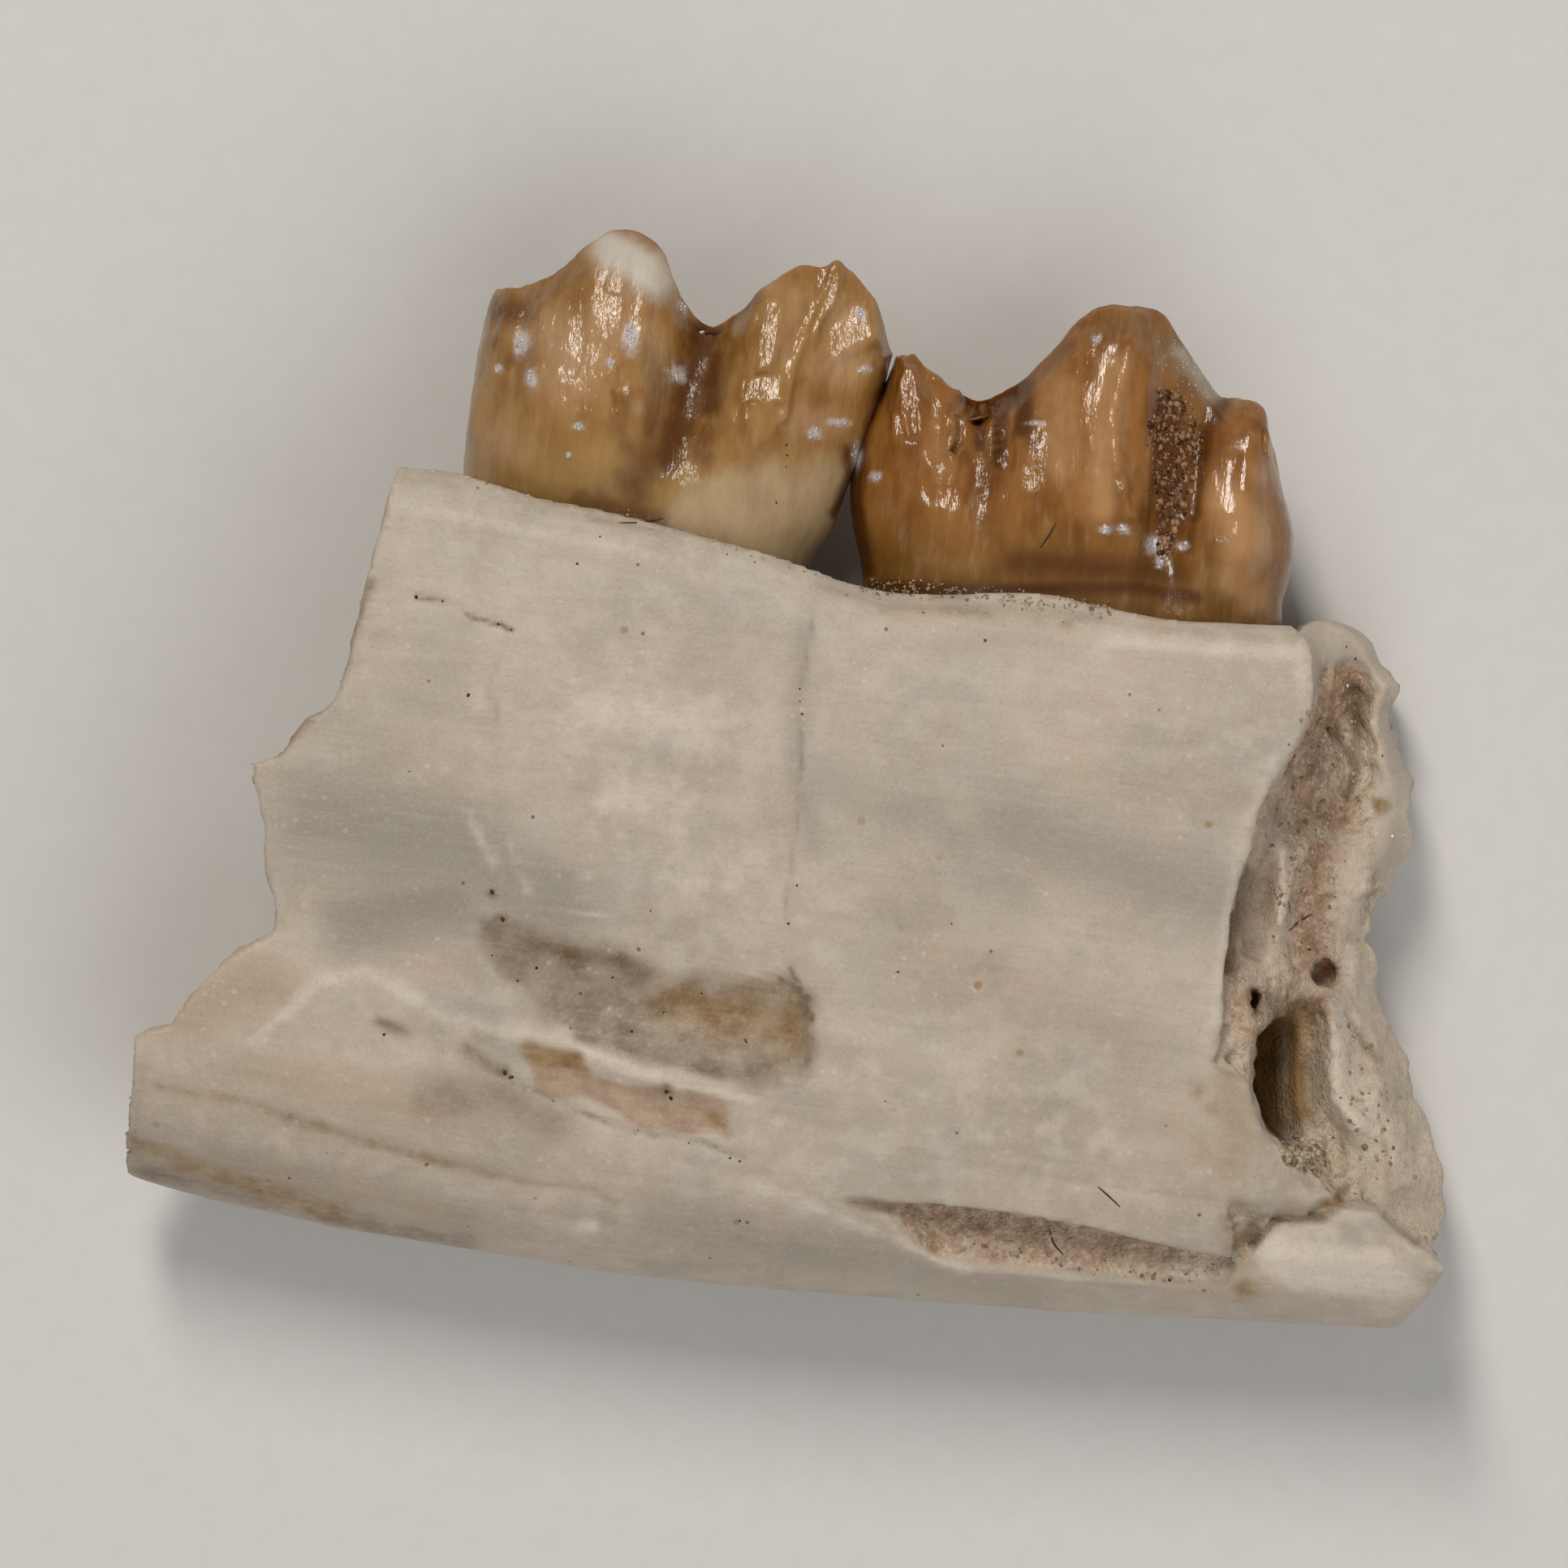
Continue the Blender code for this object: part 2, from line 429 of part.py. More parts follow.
def tooth_solid(name, tooth, grow=0.0):
    """A whole tooth: crown, neck and two roots. With grow it is the socket's shape."""
    levels = [-1.0, -0.5, *np.linspace(0, 1, WALL_RINGS), *np.linspace(1, 2, CHEWING_RINGS + 1)[1:]]
    crown = loft(name, [crown_ring(tooth, level, grow) for level in levels], close_middle=True)
    for shape in tooth["roots"]:
        boolean(crown, root(tooth, shape, grow), "UNION")
    return crown


def jaw_bone():
    """The bone with its breaks, canals and hollows, and a socket for each tooth."""
    bone = whole_bone()
    for cutter in (rear_break(), front_break(), cheek_side_break(), lower_slot(),
                   canal("front_canal", FRONT_CANAL), canal("rear_canal", REAR_CANAL),
                   canal("small_canal", SMALL_CANAL), canal("pore", PORE)):
        boolean(bone, cutter, "DIFFERENCE")
    remesh = bone.modifiers.new("even_faces", "REMESH")
    remesh.mode = "VOXEL"
    remesh.voxel_size = BONE_VOXEL
    settle(bone)
    carve_tongue_side(bone)
    thin = bone.modifiers.new("fewer_faces", "DECIMATE")
    thin.ratio = BONE_TRIANGLES / sum(len(face.vertices) - 2 for face in bone.data.polygons)
    settle(bone)
    boolean(bone, tooth_solid("molar_socket", MOLAR, SOCKET_ROOM), "DIFFERENCE")
    boolean(bone, tooth_solid("premolar_socket", PREMOLAR, SOCKET_ROOM), "DIFFERENCE")
    return bone


def finish(piece, material_name, colour, roughness):
    """Gives a piece its material, shades it smooth and turns it to metres."""
    material = bpy.data.materials.new(material_name)
    material.use_nodes = True
    shader = material.node_tree.nodes["Principled BSDF"]
    shader.inputs["Base Color"].default_value = (*colour, 1)
    shader.inputs["Roughness"].default_value = roughness
    shader.inputs["Metallic"].default_value = 0.0
    piece.data.materials.clear()
    piece.data.materials.append(material)
    piece.data.transform(Matrix.Scale(METRES_PER_MM, 4))
    piece.data.shade_smooth()
    piece.data.set_sharp_from_angle(angle=math.radians(40))


def main():
    for old in list(bpy.data.objects):
        bpy.data.objects.remove(old)
    finish(jaw_bone(), "mineralised_bone", BONE_COLOUR, 0.6)
    finish(tooth_solid("molar_tooth", MOLAR), "molar_enamel", ENAMEL_COLOUR, 0.25)
    finish(tooth_solid("premolar_tooth", PREMOLAR), "premolar_enamel", ENAMEL_COLOUR, 0.25)


main()
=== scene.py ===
"""The fossil jaw fragment dressed for its portrait.

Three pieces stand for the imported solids: the weathered bone, the molar and the premolar. Small loose matter
goes with them: grains of sediment, mineral specks, crumbs and dust fibres. Everything is modelled in
millimetres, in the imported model's own frame, and each finished piece is turned to metres with its origin left
at the frame's origin.
"""
import math

import bpy
import numpy as np
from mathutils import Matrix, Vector
from mathutils.bvhtree import BVHTree


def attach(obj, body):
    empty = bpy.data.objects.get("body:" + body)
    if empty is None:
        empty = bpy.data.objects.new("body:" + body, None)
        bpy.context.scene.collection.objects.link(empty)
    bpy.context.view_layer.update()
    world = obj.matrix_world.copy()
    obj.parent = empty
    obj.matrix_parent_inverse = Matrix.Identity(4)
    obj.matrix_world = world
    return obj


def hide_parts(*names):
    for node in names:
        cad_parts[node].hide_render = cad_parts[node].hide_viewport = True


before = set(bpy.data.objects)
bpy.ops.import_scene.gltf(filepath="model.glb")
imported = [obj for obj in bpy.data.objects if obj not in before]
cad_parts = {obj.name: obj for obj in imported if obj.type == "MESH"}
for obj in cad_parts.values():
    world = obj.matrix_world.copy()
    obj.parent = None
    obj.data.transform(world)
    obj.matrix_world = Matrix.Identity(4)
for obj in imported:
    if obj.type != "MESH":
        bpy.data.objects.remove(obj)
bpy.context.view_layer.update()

MM = 0.001
BONE_VOXEL = 0.08
BONE_TRIANGLES = 190000
# How finely each form is drawn: points round it, and rings or steps along it.
TOOTH_POINTS, TOOTH_RINGS = 360, 130
SOCKET_POINTS, SOCKET_RINGS = 60, 24
ROOT_POINTS, ROOT_RINGS = 48, 16
SOCKET_ROOM = 0.09
BORE_POINTS = 28
BORE_STEPS = 6
FIBRE_POINTS, FIBRE_RINGS = 6, 14
FIBRE_RADIUS = 0.014
# The breaks are cut away by blocks that start below the bone and end above it.
BLOCK_FOOT_Y, BLOCK_FOOT_Z = -9.5, -1.5
REAR_BLOCK_LENGTH, FRONT_BLOCK_LENGTH = 16, 14
FRONT_BLOCK_REACH = 1.25
BONE_STATIONS = np.arange(-11.2, 11.21, 0.2)
SECTION_POINTS = 120

# Measured lines of the bone, in millimetres.
UPPER_EDGE = [
    (-11.5, 5.35), (-6.1, 5.05), (-5.6, 5.0), (-5.1, 4.95), (-4.6, 4.8), (-4.0, 4.6), (-3.0, 4.38),
    (-2.0, 4.14), (-1.0, 3.87), (0.0, 3.6), (0.5, 3.42), (1.0, 3.22), (1.5, 3.08), (2.1, 3.0), (2.7, 2.98),
    (3.4, 3.0), (4.15, 2.98), (4.9, 2.8), (6.08, 2.6), (7.0, 2.56), (8.0, 2.53), (8.3, 2.55), (8.64, 2.6),
    (9.15, 2.45), (9.4, 2.25), (11.5, 2.2),
]
LOWER_EDGE = [
    (-11.5, -5.85), (-10.44, -6.2), (-9.5, -6.5), (-8.0, -6.83), (-7.0, -7.05), (-6.0, -7.25), (-4.0, -7.58),
    (-2.0, -7.83), (0.44, -8.05), (2.0, -8.16), (3.0, -8.23), (5.56, -8.41), (8.13, -8.57), (9.73, -8.65),
    (11.5, -8.7),
]
SECTION = [
    (1.0, 4.62), (0.965, 4.86), (0.88, 5.02), (0.7, 5.2), (0.5, 5.22), (0.38, 5.1), (0.28, 5.04), (0.18, 4.9),
    (0.1, 4.5), (0.045, 3.95), (0.012, 3.3), (0.0, 2.65), (0.015, 1.9), (0.06, 1.15), (0.15, 0.5),
    (0.28, 0.12), (0.42, 0.0), (0.58, 0.0), (0.72, 0.1), (0.86, 0.34), (0.95, 0.58), (0.975, 0.8),
    (0.965, 1.4), (0.955, 2.7), (0.965, 4.0), (0.985, 4.4),
]
REAR_BREAK = [
    (6.5, -5.9), (5.05, -6.1), (4.85, -6.17), (4.69, -6.23), (4.3, -6.3), (3.99, -6.38), (3.4, -6.55),
    (2.9, -6.65), (2.3, -6.8), (1.87, -6.87), (1.5, -7.02), (1.26, -7.15), (1.13, -7.32), (1.08, -7.49),
    (0.85, -7.68), (0.59, -7.87), (0.44, -7.99), (0.33, -8.12), (0.34, -8.46), (0.2, -8.4), (-0.12, -8.31),
    (-0.69, -8.2), (-1.33, -8.19), (-1.6, -8.12), (-1.78, -8.05), (-2.1, -8.06), (-2.3, -8.05), (-2.38, -8.2),
    (-2.5, -8.4), (-2.7, -8.72), (-2.87, -8.92), (-3.05, -9.12), (-3.32, -9.37), (-3.55, -9.53),
    (-3.83, -9.7), (-3.9, -10.05), (-3.95, -10.24), (-4.54, -10.3), (-5.05, -10.33), (-5.6, -10.42),
    (-6.2, -10.52), (-9.5, -10.7),
]
TONGUE_EDGE = [
    (5.0, 7.9), (2.51, 8.0), (2.3, 8.2), (2.0, 8.33), (1.77, 8.34), (1.5, 8.37), (1.2, 8.33), (1.01, 8.25),
    (0.75, 8.14), (0.49, 8.02), (0.2, 7.86), (-0.11, 7.64), (-0.49, 7.47), (-1.05, 7.38), (-1.43, 7.2),
    (-2.0, 7.05), (-2.97, 6.9), (-3.6, 6.9), (-4.2, 6.84), (-4.5, 6.62), (-5.0, 6.58), (-5.6, 6.53),
    (-6.2, 6.72), (-6.6, 6.98), (-7.0, 7.05), (-7.62, 7.1), (-9.5, 7.1),
]
CHEEK_EDGE = [
    (5.0, 8.6), (2.6, 8.75), (2.5, 9.02), (2.43, 9.16), (2.26, 9.35), (1.92, 9.47), (1.7, 9.64), (1.54, 9.8),
    (1.39, 9.73), (1.2, 9.64), (0.94, 9.64), (0.56, 9.77), (0.23, 9.88), (0.08, 10.01), (-0.19, 9.95),
    (-0.6, 9.98), (-0.94, 10.02), (-1.2, 9.84), (-1.45, 9.72), (-1.69, 9.67), (-1.8, 9.43), (-2.0, 9.38),
    (-2.3, 9.37), (-2.48, 9.23), (-2.63, 9.38), (-2.97, 9.47), (-3.2, 9.44), (-3.35, 9.42), (-3.8, 9.62),
    (-4.3, 9.88), (-4.7, 9.98), (-4.86, 10.03), (-4.95, 9.96), (-5.15, 10.1), (-5.4, 10.25), (-6.1, 10.46),
    (-6.85, 10.52), (-7.25, 10.38), (-7.36, 10.22), (-7.5, 10.34), (-7.68, 10.45), (-8.19, 10.1),
    (-8.64, 9.75), (-9.5, 9.0),
]
# Height of the front break's surface at equal steps from its tongue-side edge to its cheek-side edge.
FRONT_BREAK = [
    (3.0, (4.4, 3.4, 3.2, 3.0, 2.9, 2.8, 2.6)),
    (2.0, (4.4, 3.4, 3.1, 2.9, 2.8, 2.8, 2.5)),
    (1.0, (4.3, 3.1, 2.6, 2.3, 2.5, 2.7, 2.4)),
    (0.0, (4.4, 3.6, 3.0, 2.6, 2.5, 2.7, 2.4)),
    (-1.5, (4.6, 3.7, 3.6, 3.0, 2.8, 2.7, 2.3)),
    (-3.0, (4.7, 4.2, 3.8, 3.3, 3.1, 2.9, 2.2)),
    (-3.7, (4.7, 4.45, 3.9, 3.3, 3.3, 3.0, 2.2)),
    (-4.6, (4.75, 4.6, 4.3, 2.7, 3.2, 3.1, 2.3)),
    (-5.4, (4.75, 4.65, 4.4, 3.1, 3.2, 3.1, 2.4)),
    (-6.0, (4.7, 4.6, 4.5, 3.4, 3.2, 3.0, 2.4)),
    (-6.5, (4.6, 4.5, 4.4, 4.1, 3.2, 2.9, 2.4)),
    (-6.8, (4.35, 4.3, 4.2, 3.9, 3.5, 2.9, 2.4)),
    (-7.2, (4.1, 4.15, 4.15, 4.1, 4.0, 3.6, 3.0)),
    (-9.5, (3.9, 4.1, 4.1, 4.0, 3.9, 3.8, 3.6)),
]
# The nerve canal's mouth, and the height of its floor from its left to its right side.
CANAL_MOUTH = [
    (7.52, -3.95), (7.41, -4.76), (7.62, -5.44), (7.95, -5.76), (8.35, -5.7), (8.6, -5.2), (8.66, -4.6),
    (8.62, -4.0), (8.4, -3.7), (7.8, -3.75),
]
CANAL_FLOOR = [(7.4, 2.6), (7.7, 2.65), (8.0, 2.85), (8.3, 3.3), (8.6, 3.85)]
# Parts of the front break that broke smooth, so they show dense bone and no sponge.
SMOOTH_PLATES = [
    [(6.5, -4.3), (6.9, -4.45), (7.41, -4.69), (7.44, -5.1), (7.62, -5.44), (7.8, -5.8), (7.95, -6.05),
     (8.28, -6.15), (8.66, -6.5), (8.62, -6.75), (8.0, -6.87), (7.7, -6.8), (7.03, -6.63), (6.5, -6.4)],
    [(6.5, -8.0), (7.12, -7.67), (7.52, -7.23), (7.82, -6.98), (8.62, -6.86), (8.78, -6.65), (9.37, -6.69),
     (9.62, -6.98), (10.2, -7.36), (10.6, -7.65), (10.2, -8.3), (9.7, -9.2), (6.5, -9.2)],
    [(8.0, 3.2), (9.6, 3.2), (9.9, 1.5), (9.45, 1.35), (9.3, 1.75), (8.95, 1.95), (8.5, 1.85), (8.3, 1.2),
     (8.1, 1.4)], [(9.45, 1.35), (10.2, 1.4), (10.2, -1.3), (9.6, -1.8), (9.35, -1.4), (9.4, -0.2)],
]
# Parts of the front break whose sponge is close and worn, so they are calm.
CALM_WALLS = [
    [(8.75, -3.3), (9.2, -2.4), (9.6, -3.2), (10.3, -4.8), (10.9, -6.2), (10.9, -7.3), (9.7, -6.9),
     (9.2, -6.5), (8.75, -5.6), (8.62, -4.4)],
    [(7.45, -0.9), (7.8, 0.0), (8.05, -0.2), (8.0, -2.9), (7.6, -3.1), (7.2, -3.0), (7.25, -1.8)],
    [(8.8, -0.7), (9.3, -0.9), (9.3, -2.6), (8.9, -3.3), (8.75, -2.0)],
]
# Ridges and hollows of the front break, each as points, half width and height.
BREAK_RELIEF = [
    ([(7.87, -1.05), (7.9, -1.6), (7.86, -2.2)], 0.12, 0.25),
    ([(7.5, -1.6), (7.4, -2.6)], 0.25, -0.3),
    ([(8.68, -3.55), (8.7, -4.2), (8.7, -4.9), (9.0, -5.4)], 0.24, 0.4),
    ([(9.05, 1.75), (9.15, 0.9), (9.1, 0.2), (8.8, -0.5)], 0.2, -0.25),
    ([(9.4, -5.0), (9.5, -5.8), (9.6, -6.3)], 0.55, 0.35),
    ([(8.66, -5.4), (8.75, -6.1), (8.85, -6.5)], 0.13, -0.4),
    ([(7.7, -6.82), (8.3, -6.86), (8.8, -6.65), (9.4, -6.72), (10.1, -7.3)], 0.09, -0.3),
]
SLOT_UPPER_LIP = [
    (1.15, -6.6), (2.0, -6.71), (3.0, -6.85), (3.7, -6.95), (4.4, -7.08), (5.0, -7.2), (5.7, -7.36),
    (6.3, -7.5), (7.0, -7.64), (7.6, -7.72),
]
SLOT_LOWER_LIP = [
    (1.15, -6.64), (1.6, -6.86), (2.0, -7.08), (2.5, -7.36), (2.95, -7.55), (3.3, -7.7), (3.45, -7.62),
    (4.0, -7.8), (4.8, -7.93), (5.6, -8.0), (6.4, -8.02), (7.6, -8.03),
]
SLOT_START, SLOT_LENGTH = 1.15, 6.45
SLOT_RIM_HEIGHT = 4.75
SLOT_FLOOR = 3.86
SLOT_UNDERCUT = 0.2
# Bores as rings of centre (x, y, z) and two half widths. The canals' rings stand across X, and the two
# holes' rings lie across Z.
FRONT_CANAL = [(4.4, -4.6, 2.8, 0.3, 0.35), (5.4, -4.65, 2.9, 0.65, 0.6), (7.0, -4.75, 3.1, 0.75, 0.6),
               (7.6, -4.75, 3.2, 0.7, 0.5)]
REAR_CANAL = [(-11.5, -4.7, 2.5, 0.95, 1.0), (-9.6, -4.6, 2.5, 0.9, 0.95), (-8.0, -4.6, 2.5, 0.75, 0.8),
              (-6.8, -4.6, 2.5, 0.35, 0.4)]
ROUND_HOLE = [(8.5, -3.12, 2.6, 0.06, 0.06), (8.54, -3.07, 2.75, 0.2, 0.2), (8.6, -3.02, 3.2, 0.25, 0.25),
              (8.62, -3.0, 4.6, 0.25, 0.25)]
SMALL_HOLE = [(7.42, -3.45, 3.4, 0.06, 0.1), (7.42, -3.4, 4.2, 0.13, 0.22), (7.4, -3.34, 5.2, 0.13, 0.24)]

# Relief of the tongue side, each as points, half width and height.
BONE_RELIEF = [
    ([(-8.6, -4.0), (-7.89, -3.59), (-7.32, -3.12), (-6.67, -2.97), (-6.01, -3.26), (-5.36, -3.67)], 0.24,
     0.02),
    ([(-6.6, -3.1), (-5.77, -3.5), (-4.9, -3.85)], 0.4, 0.06),
    ([(-4.8, -3.85), (-3.6, -4.05), (-2.9, -4.3), (-2.0, -4.6), (-0.78, -4.92)], 0.17, 0.08),
    ([(-9.94, -4.73), (-8.95, -4.9), (-8.14, -5.14), (-7.32, -5.43), (-6.5, -5.67), (-5.28, -6.0),
      (-4.05, -6.29), (-2.99, -6.43), (-2.5, -6.68)], 0.12, -0.018),
    ([(-10.2, -5.3), (-8.14, -5.7), (-6.5, -6.2), (-4.05, -6.8)], 0.4, 0.03),
    ([(-4.54, -4.49), (-3.64, -4.98), (-2.41, -5.47), (-1.19, -5.67), (-0.66, -5.92)], 0.06, -0.05),
    ([(-6.2, 4.35), (-4.0, 3.95), (-2.0, 3.5), (0.0, 2.95), (1.5, 2.5), (4.0, 2.3), (6.0, 2.15), (8.1, 2.0)],
     0.25, 0.03),
    ([(0.56, 2.83), (0.25, 1.3), (0.3, 0.2), (0.05, -1.8), (0.1, -2.9), (0.4, -3.4), (0.4, -4.2)], 0.06,
     -0.012),
    ([(0.15, 2.6), (-0.1, 1.2), (-0.05, 0.2), (-0.25, -1.8)], 0.35, 0.03),
    ([(-0.2, -5.2), (2.4, -5.95), (5.5, -6.45), (7.0, -6.62)], 0.08, -0.025),
    ([(0.5, -3.9), (3.2, -4.75), (6.6, -5.2)], 0.3, 0.05),
    ([(-4.6, 3.6), (-4.9, 1.5), (-4.7, -1.7)], 0.3, -0.05),
    ([(-8.2, -2.2), (-6.8, -2.1), (-5.4, -2.0)], 0.35, -0.05),
    ([(-5.8, 2.95), (-5.35, 2.87), (-4.45, 2.5), (-4.25, 2.4)], 0.04, -0.05),
    ([(-3.3, -6.94), (-2.9, -6.94)], 0.14, -0.06),
    ([(2.8, 1.8), (5.5, 1.2), (7.8, 1.0)], 0.5, 0.05),
    ([(0.8, -0.6), (3.4, -1.2), (7.0, -2.2)], 0.6, -0.05),
]
HOLLOW_UPPER_BANK = [
    (-5.6, -2.2), (-4.7, -2.05), (-4.0, -2.3), (-3.2, -2.45), (-2.6, -2.5), (-2.1, -2.85), (-1.2, -2.95),
    (-0.1, -2.98), (0.2, -3.1), (0.6, -3.6),
]
HOLLOW_LOWER_BANK = [
    (-5.6, -2.5), (-5.0, -2.9), (-4.4, -3.3), (-3.5, -3.8), (-2.8, -4.0), (-1.8, -4.3), (-0.8, -4.6),
    (0.0, -4.85), (0.6, -5.0),
]
HOLLOW_DEPTH = 0.1
GASH_UPPER_LIP = [
    (-4.9, -4.2), (-4.3, -4.1), (-3.6, -4.22), (-2.6, -4.55), (-1.8, -4.82), (-1.0, -5.1), (-0.55, -5.3),
]
GASH_LOWER_LIP = [(-4.9, -4.3), (-4.4, -4.62), (-3.64, -5.0), (-2.41, -5.45), (-1.19, -5.68), (-0.55, -5.85)]
GASH_DEPTH = 0.06

# Measured lines of the teeth.
WALL_SHARES = (0.0, 0.2, 0.45, 0.7, 0.88, 1.0)
MOLAR = dict(
    tongue_rim=[(-4.6, 7.86), (-4.18, 7.9), (-3.79, 7.99), (-3.35, 8.26), (-2.96, 8.55), (-2.58, 8.67),
                (-2.26, 8.6), (-2.04, 8.42), (-1.81, 8.0), (-1.59, 7.6), (-1.36, 7.33), (-1.13, 7.24),
                (-0.85, 7.38), (-0.33, 7.76), (0.08, 8.13), (0.31, 8.22), (0.63, 8.2), (0.95, 8.22),
                (1.14, 8.09), (1.33, 7.74), (1.59, 7.12), (1.74, 6.85)],
    cheek_rim=[(-4.6, 7.86), (-3.9, 7.6), (-3.1, 7.95), (-2.3, 7.5), (-1.25, 6.45), (-0.4, 7.1), (0.35, 7.6),
               (1.1, 7.1), (1.74, 6.85)],
    rear_edge=[(4.4, -5.12), (5.0, -5.1), (5.72, -5.04), (6.3, -4.95), (6.87, -4.86), (7.4, -4.74),
               (7.7, -4.66), (7.86, -4.58)],
    front_edge=[(3.2, 0.3), (3.6, 0.48), (4.0, 0.72), (4.7, 1.0), (5.1, 1.18), (5.7, 1.42), (6.36, 1.62),
                (6.85, 1.74)], neck=((-5.1, 4.9), (0.42, 3.5)),
    chewing_floor=[(-4.6, 7.5), (-3.7, 7.1), (-2.8, 6.7), (-1.9, 6.65), (-1.2, 7.0), (-0.5, 6.75), (0.4, 6.4),
                   (1.7, 6.6)], middle=2.6, tongue_half=1.78, cheek_half=1.75,
    tongue_swell=(1.0, 1.05, 1.05, 0.96, 0.84, 0.7), cheek_swell=(1.0, 1.08, 1.12, 1.0, 0.84, 0.6),
    grooves=[dict(side=1, foot=-1.75, top=-1.15, half_width=0.5, foot_depth=0.05, top_depth=0.45),
             dict(side=-1, foot=-1.9, top=-1.25, half_width=0.5, foot_depth=0.35, top_depth=1.0)],
    roots=[dict(top=(-3.3, 4.0), tip=(-4.0, -1.1), half_length=1.4, half_width=1.35),
           dict(top=(-0.7, 3.3), tip=(-0.9, -1.5), half_length=1.0, half_width=1.3)],
)
PREMOLAR = dict(
    tongue_rim=[(1.77, 6.83), (1.97, 6.75), (2.29, 6.54), (2.68, 6.24), (3.06, 6.09), (3.45, 6.22),
                (3.79, 6.41), (4.28, 6.87), (4.73, 7.26), (5.08, 7.42), (5.5, 7.38), (5.88, 7.42),
                (6.14, 7.27), (6.46, 6.78), (6.74, 6.37), (6.95, 6.13), (7.23, 6.06), (7.51, 5.88),
                (7.7, 5.62)],
    cheek_rim=[(1.77, 6.83), (2.4, 6.3), (3.1, 5.9), (3.9, 6.3), (4.6, 6.95), (5.3, 7.25), (5.9, 7.1),
               (6.5, 6.4), (7.0, 5.9), (7.7, 5.62)],
    rear_edge=[(2.6, 1.35), (3.2, 1.26), (3.6, 1.2), (4.05, 1.1), (4.69, 1.06), (5.59, 1.25), (6.23, 1.56),
               (6.83, 1.77)],
    front_edge=[(2.0, 7.88), (2.56, 7.92), (2.83, 7.93), (3.15, 8.0), (3.54, 8.08), (4.05, 8.09),
                (4.56, 7.95), (5.14, 7.83), (5.62, 7.7)], neck=((1.4, 3.05), (7.9, 2.5)),
    chewing_floor=[(1.75, 6.5), (2.4, 6.0), (3.1, 5.6), (3.9, 6.15), (4.6, 6.95), (5.4, 7.3), (6.0, 7.05),
                   (6.6, 6.3), (7.1, 5.85), (7.7, 5.5)], middle=2.65, tongue_half=1.62, cheek_half=1.45,
    tongue_swell=(1.0, 1.03, 1.03, 0.94, 0.78, 0.54), cheek_swell=(1.0, 1.04, 1.0, 0.86, 0.66, 0.45),
    grooves=[dict(side=1, foot=3.1, top=3.15, half_width=0.38, foot_depth=0.0, top_depth=0.34),
             dict(side=1, foot=5.95, top=6.75, half_width=0.34, foot_depth=0.16, top_depth=0.5),
             dict(side=-1, foot=3.2, top=3.1, half_width=0.5, foot_depth=0.1, top_depth=0.5)],
    roots=[dict(top=(2.9, 2.7), tip=(2.5, -1.7), half_length=1.1, half_width=1.2),
           dict(top=(6.3, 2.2), tip=(6.1, -1.6), half_length=1.15, half_width=1.2)],
)
NECK_DEPTH = 1.0
NECK_TAPER = 0.84
ROOT_TIP_SHARE = 0.3
WALL_SQUARENESS = 0.78
THINNEST_RIM = 0.18
CHEWING_TAPER = 0.3

# Relief of the teeth's tongue side, each as points, half width and height.
MOLAR_RELIEF = [
    ([(-2.6, 8.2), (-2.87, 7.12), (-3.32, 6.05), (-3.5, 5.3)], 0.85, 0.2),
    ([(-4.13, 7.9), (-4.08, 6.7)], 0.1, -0.06), ([(-2.06, 8.2), (-2.3, 6.9)], 0.16, 0.06),
    ([(-1.2, 7.3), (-1.34, 6.67), (-1.61, 6.0)], 0.42, -0.16),
    ([(-1.61, 6.0), (-1.97, 5.3), (-2.2, 4.6)], 0.5, -0.1),
    ([(-1.25, 7.1), (-1.4, 6.4), (-1.52, 5.8), (-1.6, 5.2)], 0.13, -0.06),
    ([(-2.33, 6.05), (-2.28, 5.85)], 0.25, 0.06), ([(-2.62, 6.25), (-2.7, 5.95)], 0.1, -0.04),
    ([(0.86, 8.2), (0.6, 7.71), (0.26, 6.99), (0.1, 6.59), (0.0, 5.8)], 0.09, 0.1),
    ([(0.72, 8.0), (0.42, 7.5), (0.1, 6.9)], 0.1, -0.05),
    ([(-0.21, 7.57), (-0.35, 6.23), (-0.4, 5.6)], 0.4, 0.17), ([(1.3, 7.6), (1.35, 6.5)], 0.3, 0.16),
    ([(-4.8, 7.6), (-4.95, 5.6)], 0.2, 0.05),
]
PREMOLAR_RELIEF = [
    ([(1.98, 6.7), (1.98, 5.4)], 0.22, 0.16),
    ([(2.36, 6.43), (2.41, 5.2)], 0.1, -0.07),
    ([(2.75, 6.2), (2.7, 5.1)], 0.14, 0.08),
    ([(3.14, 6.1), (3.1, 4.8)], 0.34, -0.1),
    ([(3.28, 6.0), (3.3, 5.1)], 0.05, 0.07),
    ([(3.57, 6.2), (3.52, 5.1)], 0.13, -0.1),
    ([(5.3, 7.2), (5.15, 5.7), (5.1, 4.3)], 0.75, 0.26),
    ([(5.64, 7.25), (5.33, 6.43), (5.16, 5.7), (5.28, 4.84), (5.45, 4.26)], 0.12, 0.13),
    ([(6.1, 6.9), (6.1, 5.47), (5.98, 4.5), (5.93, 3.7)], 0.28, -0.24),
    ([(6.6, 5.6), (6.46, 4.3)], 0.12, -0.14),
    ([(6.45, 6.5), (6.85, 6.05)], 0.25, 0.06),
    ([(7.43, 5.8), (7.24, 4.94), (7.19, 3.78)], 0.36, 0.24),
    ([(6.9, 3.6), (7.6, 3.6)], 0.4, 0.06),
    ([(1.3, 3.4), (3.23, 3.3), (4.49, 3.35), (5.64, 3.2), (7.57, 2.9)], 0.45, -0.03),
]


